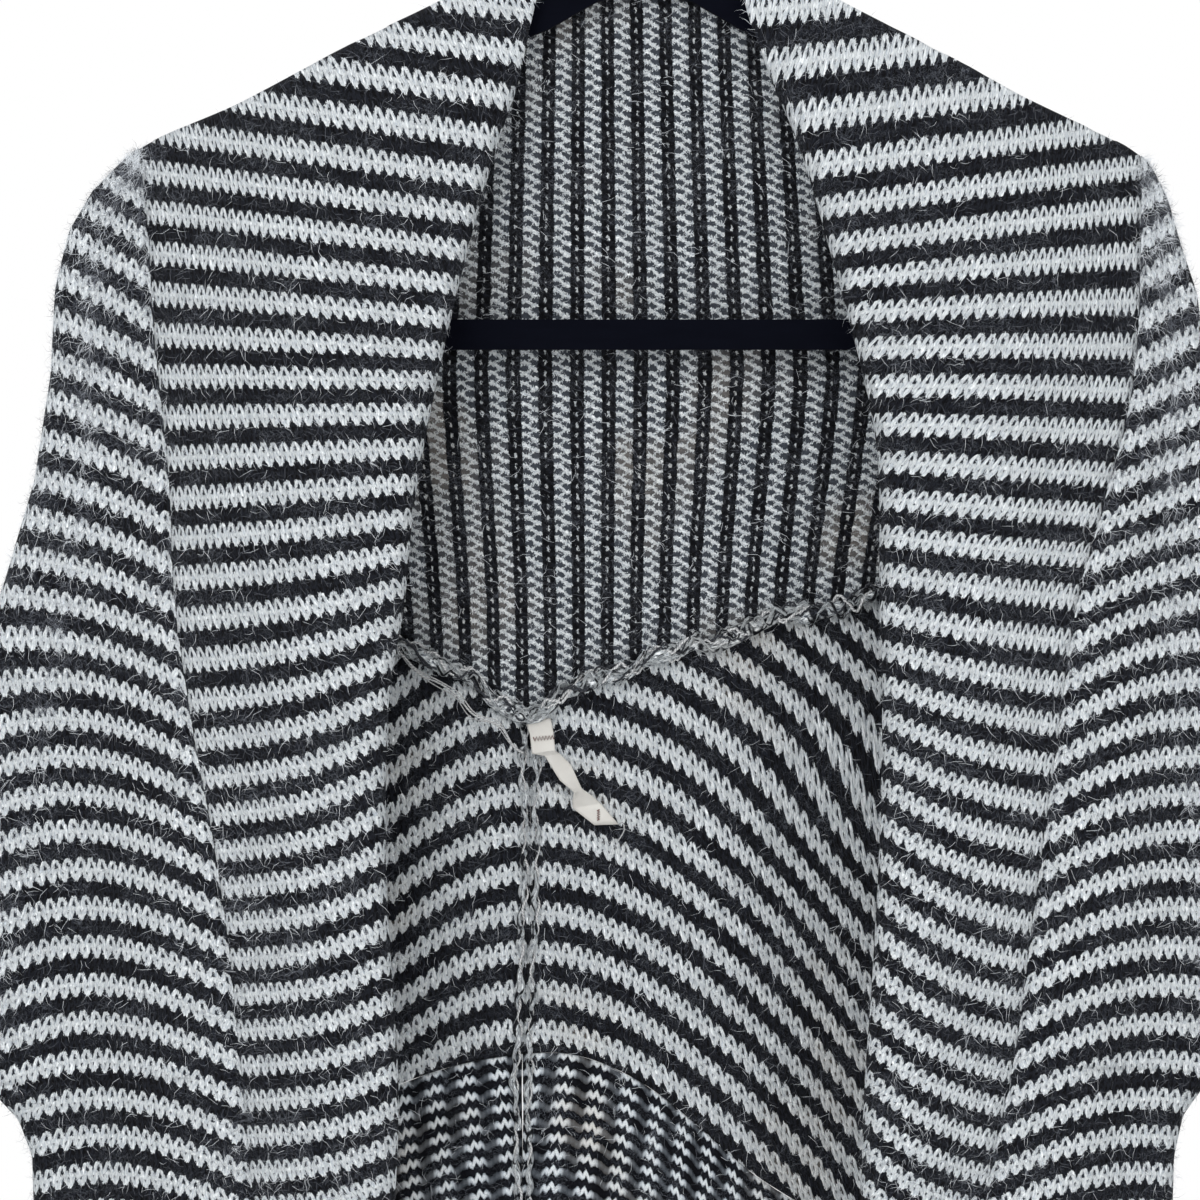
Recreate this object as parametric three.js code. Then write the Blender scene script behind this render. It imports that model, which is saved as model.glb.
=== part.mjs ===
// Open-front cardigan of striped brushed knit, hanging on a slim velvet-covered clothes hanger.
// Millimetres. The front faces -Y, +X is the right hand of someone facing it, +Z is up.
// The origin is the inside of the hook's bend, where a rail carries it.
import * as THREE from "three";

// ---------------------------------------------------------------- driving dimensions
const WALL = 3; // knit cloth
const TAPE_WALL = 1; // the folded tape
const SEAM_GAP = 0.3; // between two pieces that are sewn together
const LAP_GAP = 0.8; // between a front's lap and the yoke
const RIDGE_RADIUS = 6; // cloth over a hanger arm, to the middle of the wall
const FOLD_RADIUS = 10; // outer fold of a sleeve and side of the body, to the middle of the wall
const SIDE_SWELL = 45; // how far in from a fold the cloth reaches its full depth
const ROLL_WIDTH = 27; // cloth taken up by the rolled selvedge of a front
const ROLL_ANGLE = 2.9; // how far the selvedge rolls, in radians
const ROLL_START = 14; // below the shoulder fold
const ROLL_FULL = 90; // below the shoulder fold
const SHOULDER_LAP = 8; // how far a front reaches behind the shoulder fold
const FRONT_HEM = -665; // lower end of the fronts
const BAND_HEIGHT = 68; // ribbed hem band
const CUFF_HEIGHT = 56; // ribbed cuff
const CUFF_TAPER = 0.9; // cuff's lower width over its upper width
const SLEEVE_HALF_DEPTH = 12;
const TAPE_WIDTH = 10.8;

const ARM_LENGTH = 212; // hanger, from the centre to the end of an arm
const ARM_THICKNESS = 5;
const BAR_TOP = -244;
const BAR_HEIGHT = 13;
const BAR_HALF_LENGTH = 184;
const HOOK_FOOT = -63.7; // lower end of the hook's shank, 0.3 mm above the hanger's top face
const HOOK_INNER_RADIUS = 19;
const HOOK_WIRE = 3.6;

const SIDES = { left: -1, right: 1 };

// Crest of the shoulder cloth, from the neck out to the end of the hanger's arm.
const SHOULDER = {
  left: [
    { x: -42, z: -84 }, { x: -92, z: -109 }, { x: -129, z: -127 },
    { x: -176, z: -152 }, { x: -209, z: -166 },
  ],
  right: [
    { x: 39, z: -83 }, { x: 88, z: -109 }, { x: 137, z: -134 },
    { x: 162, z: -148 }, { x: 208, z: -170 },
  ],
};

// Outer fold, from the end of the shoulder down to the cuff.
const OUTER_FOLD = {
  left: [
    { x: -222, z: -173 }, { x: -238, z: -189 }, { x: -248, z: -206 }, { x: -254, z: -230 },
    { x: -256, z: -268 }, { x: -263, z: -314 }, { x: -276, z: -358 }, { x: -294, z: -408 },
    { x: -339, z: -537 }, { x: -354, z: -580 }, { x: -379, z: -668 },
  ],
  right: [
    { x: 217, z: -176 }, { x: 225, z: -191 }, { x: 231, z: -212 }, { x: 238, z: -233 },
    { x: 246, z: -300 }, { x: 257, z: -357 }, { x: 271, z: -408 }, { x: 290, z: -473 },
    { x: 310, z: -537 }, { x: 323, z: -580 }, { x: 348, z: -668 },
  ],
};

// Side of the body, from the lower edge of the hem band up to the underarm.
const BODY_SIDE = {
  left: [
    { x: -258, z: -740 }, { x: -262, z: -668 }, { x: -264, z: -606 },
    { x: -270, z: -590 }, { x: -284, z: -575 },
  ],
  right: [
    { x: 222, z: -740 }, { x: 226, z: -668 }, { x: 228, z: -606 },
    { x: 232, z: -588 }, { x: 245, z: -570 },
  ],
};

// Underside of the sleeve, from the underarm down to the cuff.
const UNDER_SLEEVE = {
  left: [{ x: -284, z: -575 }, { x: -293, z: -592 }, { x: -306, z: -688 }],
  right: [{ x: 245, z: -570 }, { x: 254, z: -588 }, { x: 275, z: -688 }],
};

// Seam between front and sleeve; the back's seam lies behind it.
const ARMHOLE_SEAM = {
  left: [
    { z: -168, x: -219 }, { z: -206, x: -214 }, { z: -249, x: -211 }, { z: -314, x: -204 },
    { z: -365, x: -201 }, { z: -417, x: -193.5 }, { z: -464, x: -185 }, { z: -516, x: -177.5 },
    { z: -559, x: -173 }, { z: -611, x: -168 }, { z: -665, x: -160 },
  ],
  right: [
    { z: -172, x: 214 }, { z: -206, x: 214 }, { z: -251, x: 212 }, { z: -282, x: 208 },
    { z: -326, x: 196 }, { z: -365, x: 185 }, { z: -431, x: 175 }, { z: -494, x: 166 },
    { z: -558, x: 158 }, { z: -612, x: 147 }, { z: -665, x: 139 },
  ],
};

// Front edge: the outermost line of the rolled selvedge.
const FRONT_EDGE = {
  left: [
    { z: -84, x: -42 }, { z: -132, x: -53 }, { z: -165, x: -64 }, { z: -199, x: -74 },
    { z: -257, x: -88 }, { z: -320, x: -100 }, { z: -365, x: -104.5 }, { z: -408, x: -111 },
    { z: -473, x: -112.5 }, { z: -516, x: -110.5 }, { z: -580, x: -107 }, { z: -665, x: -111 },
  ],
  right: [
    { z: -83, x: 39 }, { z: -118, x: 46 }, { z: -163, x: 66 }, { z: -209, x: 80 },
    { z: -271, x: 96 }, { z: -305, x: 101.5 }, { z: -365, x: 102 }, { z: -408, x: 103 },
    { z: -473, x: 101.5 }, { z: -529, x: 98.5 }, { z: -580, x: 95 }, { z: -665, x: 93 },
  ],
};

// Lower edge of the yoke: a V whose point lies left of the centre.
const YOKE_HEM = [
  { x: -202, z: -350 }, { x: -150, z: -368 }, { x: -108, z: -383 }, { x: -75, z: -401 },
  { x: -50, z: -414 }, { x: -23, z: -400 }, { x: 34, z: -381 }, { x: 66, z: -371 },
  { x: 100, z: -364 }, { x: 150, z: -354 }, { x: 189, z: -350 },
];
const NECK_BACK = [{ x: -44, z: -93 }, { x: -20, z: -96 }, { x: 16, z: -96 }, { x: 41, z: -92 }];

// Seam between the lower back and its hem band, which hangs higher behind the neck.
const BACK_HEM = [
  { x: -262, z: -668 }, { x: -205, z: -628 }, { x: -107, z: -577 }, { x: -41, z: -563 },
  { x: 0, z: -577 }, { x: 56, z: -622 }, { x: 110, z: -648 }, { x: 226, z: -668 },
];
const CENTRE_BACK = [{ z: -414, x: -50 }, { z: -491, x: -50 }, { z: -563, x: -53 }, { z: -640, x: -53 }];

// How far the cloth stands out before and behind the hanger's middle plane, down the body.
const DEPTH = [
  { z: -90, front: 8, back: 8 }, { z: -150, front: 17, back: 10 }, { z: -200, front: 23, back: 12 },
  { z: -250, front: 28, back: 14 }, { z: -350, front: 34, back: 16 }, { z: -450, front: 38, back: 18 },
  { z: -600, front: 41, back: 20 }, { z: -740, front: 42, back: 21 },
];

// The largest folds. Each is a soft ridge (+) or trough (-) that runs from its top to its bottom.
const FOLDS = [
  { layer: -1, xTop: -120, zTop: -170, xLow: -152, zLow: -700, width: 24, rise: 5 },
  { layer: -1, xTop: -190, zTop: -250, xLow: -205, zLow: -700, width: 22, rise: 5 },
  { layer: -1, xTop: -240, zTop: -330, xLow: -236, zLow: -640, width: 13, rise: -4 },
  { layer: -1, xTop: 150, zTop: -200, xLow: 148, zLow: -520, width: 26, rise: 5 },
  { layer: -1, xTop: 120, zTop: -330, xLow: 118, zLow: -700, width: 16, rise: 4 },
  { layer: -1, xTop: 205, zTop: -330, xLow: 196, zLow: -700, width: 20, rise: 5 },
  { layer: 1, xTop: -130, zTop: -260, xLow: -150, zLow: -700, width: 30, rise: 6 },
  { layer: 1, xTop: 60, zTop: -240, xLow: 80, zLow: -700, width: 26, rise: 5 },
  { layer: 1, xTop: 165, zTop: -300, xLow: 190, zLow: -700, width: 24, rise: -5 },
];

// Centre line of the folded tape, from the yoke's point down; share is its width there.
const TAPE = [
  { x: -44, z: -417, share: 1 }, { x: -46, z: -433, share: 0.9 }, { x: -37, z: -441, share: 0.45 },
  { x: -28, z: -448, share: 0.8 }, { x: -24, z: -457, share: 1 }, { x: -13, z: -465, share: 0.8 },
];

// Upper edge of a hanger arm, and how deep the arm is below it.
const ARM = [
  { x: 0, z: -64, deep: 38 }, { x: 16, z: -74, deep: 30 }, { x: 38, z: -86.6, deep: 30 },
  { x: 100, z: -119, deep: 22 }, { x: 162, z: -151.8, deep: 14 }, { x: 206, z: -172.8, deep: 12 },
];

// ---------------------------------------------------------------- small helpers
const clamp01 = (t) => Math.min(1, Math.max(0, t));
const mix = (a, b, t) => a + (b - a) * t;
const ease = (t) => clamp01(t) ** 2 * (3 - 2 * clamp01(t));

/** Value of `column` where `by` is `at`, smooth between the rows of a table sorted either way. */
function read(rows, by, at, column) {
  const up = rows[rows.length - 1][by] > rows[0][by] ? 1 : -1;
  let i = 0;
  while (i < rows.length - 2 && (at - rows[i + 1][by]) * up > 0) i += 1;
  const [a, b] = [rows[i], rows[i + 1]];
  const [p, q] = [rows[Math.max(i - 1, 0)], rows[Math.min(i + 2, rows.length - 1)]];
  const span = b[by] - a[by];
  const t = clamp01((at - a[by]) / span);
  const slopeA = ((b[column] - p[column]) / (b[by] - p[by])) * span;
  const slopeB = ((q[column] - a[column]) / (q[by] - a[by])) * span;
  return (
    (2 * t ** 3 - 3 * t ** 2 + 1) * a[column] + (t ** 3 - 2 * t ** 2 + t) * slopeA +
    (3 * t ** 2 - 2 * t ** 3) * b[column] + (t ** 3 - t ** 2) * slopeB
  );
}

/** Point at share t of the length of a polyline of { x, z }. */
function pointAlong(line, t) {
  const lengths = line.slice(1).map((b, i) => Math.hypot(b.x - line[i].x, b.z - line[i].z));
  let left = clamp01(t) * lengths.reduce((sum, l) => sum + l, 0);
  let i = 0;
  while (i < lengths.length - 1 && left > lengths[i]) {
    left -= lengths[i];
    i += 1;
  }
  const share = clamp01(left / lengths[i]);
  return { x: mix(line[i].x, line[i + 1].x, share), z: mix(line[i].z, line[i + 1].z, share) };
}

/** Distance from (x, z) to a polyline, and the unit direction { inX, inZ } away from it. */
function clearOf({ line, inside }, x, z) {
  let best = { away: Infinity };
  for (let i = 0; i < line.length - 1; i += 1) {
    const [a, b] = [line[i], line[i + 1]];
    const [dx, dz] = [b.x - a.x, b.z - a.z];
    const t = clamp01(((x - a.x) * dx + (z - a.z) * dz) / (dx * dx + dz * dz));
    const [offX, offZ] = [x - a.x - dx * t, z - a.z - dz * t];
    const away = Math.hypot(offX, offZ);
    if (away >= best.away) continue;
    const hand = Math.sign((inside.x - a.x) * -dz + (inside.z - a.z) * dx) / Math.hypot(dx, dz);
    best = away > 0.3
      ? { away, inX: offX / away, inZ: offZ / away }
      : { away, inX: -dz * hand, inZ: dx * hand };
  }
  return best;
}

// ---------------------------------------------------------------- the hanging form
const outlineOf = (side) => [...SHOULDER[side], ...OUTER_FOLD[side]];
const seamX = (side, z) => read(ARMHOLE_SEAM[side], "z", z, "x");
const crest = (side, x) => read(outlineOf(side).slice(0, SHOULDER[side].length + 1), "x", x, "z");
const centreX = (z) => read(CENTRE_BACK, "z", z, "x");
const SLANT = Math.cos(Math.atan2(24, 49)); // turns a drop square to the crest into one straight down

const sideOf = (x) => (x < -3 ? "left" : "right");

/** Distance in from the nearest crest or fold, where front and back meet, and the way in from it. */
function fromFold(x, z) {
  const side = sideOf(x);
  const lines = [
    { line: outlineOf(side), inside: { x: SIDES[side] * 150, z: -450 } },
    { line: BODY_SIDE[side], inside: { x: SIDES[side] * 100, z: -660 } },
    { line: UNDER_SLEEVE[side], inside: { x: SIDES[side] * 420, z: -690 } },
  ];
  return lines.map((line) => clearOf(line, x, z)).reduce((a, b) => (b.away < a.away ? b : a));
}
const foldRadius = (x, z) =>
  mix(RIDGE_RADIUS, FOLD_RADIUS, Math.max(ease((Math.abs(x) - 214) / 30), ease((-z - 300) / 100)));

/** How far the middle of the wall stands from the hanger's plane at (x, z), on layer -1 (front) or +1. */
function standOff(layer, x, z) {
  const { away } = fromFold(x, z);
  const radius = foldRadius(x, z);
  if (away < radius) return Math.sqrt(radius ** 2 - (radius - away) ** 2);
  const body = read(DEPTH, "z", z, layer < 0 ? "front" : "back");
  const full = mix(body, SLEEVE_HALF_DEPTH, ease((Math.abs(x) - 170) / 100));
  const swell = 1 - Math.exp((radius - away) / SIDE_SWELL);
  let y = radius + Math.max(full - radius, 0) * swell;
  for (const fold of FOLDS.filter((f) => f.layer === layer)) {
    const t = (z - fold.zTop) / (fold.zLow - fold.zTop);
    const centre = mix(fold.xTop, fold.xLow, clamp01(t));
    const fade = ease(t * 3) * ease((1.15 - t) * 4);
    y += fold.rise * fade * swell * Math.exp(-(((x - centre) / fold.width) ** 2));
  }
  return y;
}

/** Point of the middle of the wall at (x, z), with the outward normal that every piece there shares. */
function onForm(layer, x, z) {
  const step = 0.4;
  const slope = (f) => [f(x + step, z) - f(x - step, z), f(x, z + step) - f(x, z - step)].map((d) => d / 2 / step);
  const { away, inX, inZ } = fromFold(x, z);
  const radius = foldRadius(x, z);
  const point = new THREE.Vector3(x, layer * standOff(layer, x, z), z);
  if (away < radius) {
    const out = (away - radius) / radius;
    point.normal = new THREE.Vector3(out * inX, layer * Math.sqrt(1 - out ** 2), out * inZ);
  } else {
    const [dx, dz] = slope((a, b) => standOff(layer, a, b));
    point.normal = new THREE.Vector3(-dx, layer, -dz).normalize();
  }
  return point;
}

// Rows of the cloth where they cross the sleeve seam.
const SEAM_DROPS = [6, 12, 22, 38, 60]; // below the crest, square to it
const SEAM_HEIGHTS = [-270, -310, -350, -395, -440, -485, -528];
const YOKE_ROWS = SEAM_DROPS.length + 3; // rows from the shoulder to the yoke's lower edge
const UNDERARM_ROW = SEAM_DROPS.length + SEAM_HEIGHTS.length;
const UNDERARM_RISE = 6; // the row through the underarm climbs this much towards the seam

/** Crossings of the sleeve seam with the rows of the cloth, from the shoulder down to the hem. */
function seamRows(side, layer) {
  const upper = SEAM_DROPS.map((drop) => {
    let z = crest(side, seamX(side, -180));
    for (let i = 0; i < 4; i += 1) z = crest(side, seamX(side, z)) - drop / SLANT;
    return z;
  });
  const split = UNDER_SLEEVE[side][0].z + UNDERARM_RISE;
  let hem = FRONT_HEM;
  for (let i = 0; i < 6 && layer > 0; i += 1) hem = read(BACK_HEM, "x", seamX(side, hem), "z");
  const lower = [0.25, 0.5, 0.75, 1].map((t) => mix(split, hem, t));
  return [...upper, ...SEAM_HEIGHTS, split, ...lower].map((z) => ({ x: seamX(side, z), z }));
}

// ---------------------------------------------------------------- cloth from rows of points
/** A wall of even thickness about a sheet of points, joined from one or more grids that share points. */
class Sheet {
  points = [];
  quads = [];
  index = new Map();

  vertex(p) {
    const key = [p.x, p.y, p.z].map((v) => Math.round(v * 100)).join();
    if (!this.index.has(key)) this.index.set(key, this.points.push(p) - 1);
    return this.index.get(key);
  }

  /** Adds rows of points, each with as many, and faces them the way of their points' normals. */
  grid(rows) {
    const ids = rows.map((row) => row.map((p) => this.vertex(p)));
    const quads = ids.slice(1).flatMap((below, j) =>
      below.slice(1).map((_, i) => [ids[j][i], ids[j][i + 1], below[i + 1], below[i]]));
    const facing = quads.reduce((sum, [a, b, c, d]) => {
      const [p, q, r, t] = [a, b, c, d].map((i) => this.points[i]);
      return sum + r.clone().sub(p).cross(t.clone().sub(q)).dot(p.normal);
    }, 0);
    this.quads.push(...quads.map((quad) => (facing < 0 ? quad.reverse() : quad)));
    return this;
  }

  /** Closed geometry: both faces and a rim along every free edge. */
  geometry(wall = WALL) {
    const count = this.points.length;
    const triangles = this.quads
      .flatMap(([a, b, c, d]) => [[a, b, c], [a, c, d]])
      .filter(([a, b, c]) => a !== b && b !== c && c !== a);
    const shifted = (way) => this.points.flatMap((p) => p.clone().addScaledVector(p.normal, way).toArray());
    const edges = new Set(triangles.flatMap(([a, b, c]) => [`${a},${b}`, `${b},${c}`, `${c},${a}`]));
    const faces = triangles.flatMap(([a, b, c]) => [a, b, c, c + count, b + count, a + count]);
    for (const edge of edges) {
      const [a, b] = edge.split(",").map(Number);
      if (!edges.has(`${b},${a}`)) faces.push(b, a, a + count, b, a + count, b + count);
    }
    const geometry = new THREE.BufferGeometry();
    const positions = [...shifted(wall / 2), ...shifted(-wall / 2)];
    geometry.setAttribute("position", new THREE.Float32BufferAttribute(positions, 3));
    geometry.setIndex(faces);
    geometry.computeVertexNormals();
    return geometry;
  }
}

// ---------------------------------------------------------------- fronts
const FRONT_SHARES = [0, 0.12, 0.28, 0.46, 0.64, 0.82, 1]; // from the sleeve seam to the roll
const ROLL_SHARES = [0.17, 0.34, 0.5, 0.67, 0.84, 1]; // round the roll

/** Points across a front at one height, from `outerX` to the rolled selvedge's end. */
function frontRow(side, layer, outerX, heightAt, drop) {
  const hand = SIDES[side];
  const turned = layer < 0 ? ease((drop - ROLL_START) / (ROLL_FULL - ROLL_START)) : 0;
  const angle = Math.max(ROLL_ANGLE * turned, 0.02);
  const radius = ROLL_WIDTH / angle;
  const reach = angle > Math.PI / 2 ? radius : radius * Math.sin(angle);
  let edge = read(FRONT_EDGE[side], "z", heightAt(hand * 60), "x");
  edge = read(FRONT_EDGE[side], "z", heightAt(edge), "x");
  const start = edge + hand * reach;
  const row = FRONT_SHARES.map((share) => {
    const x = mix(outerX, start, share);
    return onForm(layer, x, heightAt(x));
  });
  const last = row[row.length - 1];
  for (const share of ROLL_SHARES) {
    const turn = angle * share;
    const x = start - hand * radius * Math.sin(turn);
    const flat = onForm(layer, x, heightAt(x));
    const y = mix(flat.y, last.y, turned) + radius * (1 - Math.cos(turn)) * turned;
    const point = new THREE.Vector3(x, y, flat.z);
    const rolled = new THREE.Vector3(-hand * Math.sin(turn), layer * Math.cos(turn), 0);
    point.normal = flat.normal.clone().lerp(rolled, turned).normalize();
    row.push(point);
  }
  return row;
}

function frontPanel(side) {
  const inset = (-SIDES[side] * SEAM_GAP) / 2;
  const over = [SHOULDER_LAP, 6, 3, 0.8].map((drop) => ({ layer: 1, drop }));
  const rows = [...over, ...[0, 0.8, 3, ...SEAM_DROPS].map((drop) => ({ layer: -1, drop }))];
  const grid = rows.map(({ layer, drop }) => {
    const heightAt = (x) => crest(side, x) - drop / SLANT;
    let outerX = seamX(side, -180);
    for (let i = 0; i < 4; i += 1) outerX = seamX(side, heightAt(outerX));
    return frontRow(side, layer, outerX + inset, heightAt, drop);
  });
  const lastDrop = SEAM_DROPS[SEAM_DROPS.length - 1] / SLANT;
  const bottom = FRONT_HEM + SEAM_GAP / 2;
  const crossings = seamRows(side, -1);
  const above = crossings[SEAM_DROPS.length - 1].z;
  for (const crossing of crossings.slice(SEAM_DROPS.length)) {
    const share = Math.max(0, (crossing.z - bottom) / (above - bottom));
    const heightAt = (x) => mix(bottom, crest(side, x) - lastDrop, share);
    grid.push(frontRow(side, -1, crossing.x + inset, heightAt, ROLL_FULL));
  }
  return new Sheet().grid(grid).geometry();
}

// ---------------------------------------------------------------- sleeves
const TO_UNDERARM = [0, 0.35, 0.7, 0.92, 0.98, 1]; // across the body part of the piece
const TO_FOLD = [0, 0.04, 0.16, 0.38, 0.62, 0.84, 0.96, 1]; // across the sleeve part
const FOLD_AT_UNDERARM = 0.79; // share of the outer fold above the underarm

const span = (a, b, part) => part.map((s) => ({ x: mix(a.x, b.x, s), z: mix(a.z, b.z, s) }));
const sideLine = (side) => [...BODY_SIDE[side]].reverse().slice(0, 4);

/** Sleeve and side in one piece: over the outer fold from the front seam to the back seam. */
function sleevePanel(side) {
  const inset = (SIDES[side] * SEAM_GAP) / 2;
  const underarm = UNDER_SLEEVE[side][0];
  const peakX = seamX(side, crest(side, seamX(side, -175))) + inset * 3;
  const foldLine = [{ x: peakX, z: crest(side, peakX) }, ...OUTER_FOLD[side]];
  const sheet = new Sheet();
  for (const layer of [-1, 1]) {
    const seam = seamRows(side, layer).map(({ x, z }, i) => ({ x: x + inset * (i ? 1 : 3), z }));
    const [first, split] = [seam[0], seam[UNDERARM_ROW]];
    const foldEnd = pointAlong(foldLine, FOLD_AT_UNDERARM);
    const part = (underarm.x - split.x) / (foldEnd.x - split.x);
    const shares = [...TO_UNDERARM.map((s) => s * part), ...TO_FOLD.slice(1).map((s) => mix(part, 1, s))];
    const upper = seam.slice(0, UNDERARM_ROW).map((at) => {
      const down = (at.z - first.z) / (split.z - first.z);
      return span(at, pointAlong(foldLine, FOLD_AT_UNDERARM * down), shares);
    });
    const apex = [...span(split, underarm, TO_UNDERARM), ...span(underarm, foldEnd, TO_FOLD).slice(1)];
    const place = (row, openAt) => row.map(({ x, z }, i) => {
      const point = onForm(layer, x, z);
      if (i === openAt) point.y = (layer * SEAM_GAP) / 2;
      return point;
    });
    const lower = seam.slice(UNDERARM_ROW + 1).map((at, i) => {
      const sidePoint = pointAlong(sideLine(side), (i + 1) / 4);
      const lift = i === 3 ? SEAM_GAP / 2 : 0;
      return span({ x: at.x, z: at.z + lift }, { x: sidePoint.x, z: sidePoint.z + lift }, TO_UNDERARM);
    });
    const arm = [0.12, 0.3, 0.52, 0.76, 1].map((t) =>
      span(pointAlong(UNDER_SLEEVE[side], t), pointAlong(foldLine, mix(FOLD_AT_UNDERARM, 1, t)), TO_FOLD));
    const turnAt = TO_UNDERARM.length - 1;
    const apexPoints = place(apex, turnAt);
    sheet.grid([...upper.map((row) => place(row)), apexPoints]);
    sheet.grid([apexPoints.slice(0, turnAt + 1), ...lower.map((row) => place(row, turnAt))]);
    sheet.grid([apexPoints.slice(turnAt), ...arm.map((row) => place(row, 0))]);
  }
  return sheet.geometry();
}

// ---------------------------------------------------------------- back
const shares = (count) => Array.from({ length: count + 1 }, (_, i) => i / count);
const HALF_BACK = shares(8); // from the sleeve seam to the centre

/** How far down a back piece, from 0 to 1, each of its rows meets the sleeve seam. */
const rowShares = (seam, topAt, lowAt) => seam.map((at, row) => {
  if (row === 0 || row === seam.length - 1) return Math.sign(row);
  return (at.z - topAt(at.x)) / (lowAt(at.x) - topAt(at.x));
});

/** Rows of one half of a back piece, from the sleeve seam to the centre, where they reach `atCentre`. */
function backHalf(side, topAt, lowAt, seam, centreGap, atCentre) {
  const inset = (-SIDES[side] * SEAM_GAP) / 2;
  const atSeam = rowShares(seam, topAt, lowAt);
  return seam.map((at, row) => HALF_BACK.map((s) => {
    let [x, z] = [at.x, at.z];
    for (let i = 0; i < 8; i += 1) {
      x = mix(at.x + inset, centreX(z) + (SIDES[side] * centreGap) / 2, s);
      z = mix(topAt(x), lowAt(x), mix(atSeam[row], atCentre[row], s));
    }
    return onForm(1, x, z);
  }));
}

function yokeTop(x) {
  const drop = SHOULDER_LAP / SLANT + LAP_GAP;
  if (x <= NECK_BACK[0].x) return crest("left", x) - drop;
  if (x >= NECK_BACK[3].x) return crest("right", x) - drop;
  return read(NECK_BACK, "x", x, "z");
}

function yoke() {
  const low = (x) => read(YOKE_HEM, "x", x, "z") + SEAM_GAP / 2;
  const seams = Object.fromEntries(Object.keys(SIDES).map((side) => [side, seamRows(side, 1).slice(0, YOKE_ROWS)]));
  const [left, right] = Object.values(seams).map((seam) => rowShares(seam, yokeTop, low));
  const atCentre = left.map((share, row) => (share + right[row]) / 2);
  const sheet = new Sheet();
  for (const side of Object.keys(SIDES)) sheet.grid(backHalf(side, yokeTop, low, seams[side], 0, atCentre));
  return sheet.geometry();
}

function lowerBack(side) {
  const top = (x) => read(YOKE_HEM, "x", x, "z") - SEAM_GAP / 2;
  const low = (x) => read(BACK_HEM, "x", x, "z") + SEAM_GAP / 2;
  const seam = seamRows(side, 1).slice(YOKE_ROWS - 1);
  return new Sheet().grid(backHalf(side, top, low, seam, SEAM_GAP, rowShares(seam, top, low))).geometry();
}

// ---------------------------------------------------------------- ribbed bands
/** Hem band, from the rolled front edge round the side to the centre back. */
function hemBand(side) {
  const rows = shares(3).map((t) => {
    const fall = SEAM_GAP / 2 + t * (BAND_HEIGHT - SEAM_GAP);
    const seam = seamRows(side, -1).pop();
    const seamBack = seamRows(side, 1).pop();
    const corner = BODY_SIDE[side][1];
    const front = frontRow(side, -1, seam.x, () => FRONT_HEM - fall, ROLL_FULL).reverse();
    const drift = t * (BODY_SIDE[side][0].x - corner.x);
    const toSide = (from, layer) => span(from, corner, TO_UNDERARM).slice(1).map(({ x, z }, i) =>
      onForm(layer, x + drift * TO_UNDERARM[i + 1], z - fall));
    const back = HALF_BACK.map((s) => {
      const x = mix(seamBack.x, centreX(-600) + (SIDES[side] * SEAM_GAP) / 2, s);
      return onForm(1, x, read(BACK_HEM, "x", x, "z") - fall);
    });
    return [...front, ...toSide(seam, -1), ...toSide(seamBack, 1).reverse().slice(1), ...back];
  });
  return new Sheet().grid(rows).geometry();
}

/** Cuff, a short ribbed tube that carries on from the sleeve's end. */
function cuff(side) {
  const inner = UNDER_SLEEVE[side][2];
  const outer = OUTER_FOLD[side][OUTER_FOLD[side].length - 1];
  const width = Math.hypot(outer.x - inner.x, outer.z - inner.z);
  const down = new THREE.Vector3(
    (SIDES[side] * (outer.z - inner.z)) / width, 0, (-SIDES[side] * (outer.x - inner.x)) / width);
  const round = [...TO_FOLD.map((s) => ({ s, layer: -1 })),
    ...[...TO_FOLD].reverse().slice(1).map((s) => ({ s, layer: 1 }))];
  const rows = shares(2).map((t) => round.map(({ s, layer }) => {
    const at = onForm(layer, mix(inner.x, outer.x, s), mix(inner.z, outer.z, s));
    const narrow = (s - 0.5) * (CUFF_TAPER - 1) * t;
    const point = at.clone().addScaledVector(down, CUFF_HEIGHT * t + SEAM_GAP);
    point.x += narrow * (outer.x - inner.x);
    point.z += narrow * (outer.z - inner.z);
    if (s === 0) point.y = 0;
    point.normal = t > 0 ? at.normal.clone().projectOnPlane(down).normalize() : at.normal;
    if (s === 0 || s === 1) point.normal.setY(0).normalize();
    return point;
  }));
  return new Sheet().grid(rows).geometry();
}

/** The folded tape, lying on the inside of the lower back. */
function tape() {
  const off = WALL / 2 + SEAM_GAP + TAPE_WALL / 2;
  const rows = TAPE.map((at, i) => {
    const [a, b] = [TAPE[Math.max(i - 1, 0)], TAPE[Math.min(i + 1, TAPE.length - 1)]];
    const length = Math.hypot(b.x - a.x, b.z - a.z);
    const half = (TAPE_WIDTH * at.share) / 2;
    return [-1, 0, 1].map((way) => {
      const x = at.x - (way * half * (b.z - a.z)) / length;
      const z = at.z + (way * half * (b.x - a.x)) / length;
      const point = onForm(1, x, z);
      return Object.assign(point.clone().addScaledVector(point.normal, -off), { normal: point.normal });
    });
  });
  return new Sheet().grid(rows).geometry(TAPE_WALL);
}

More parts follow.
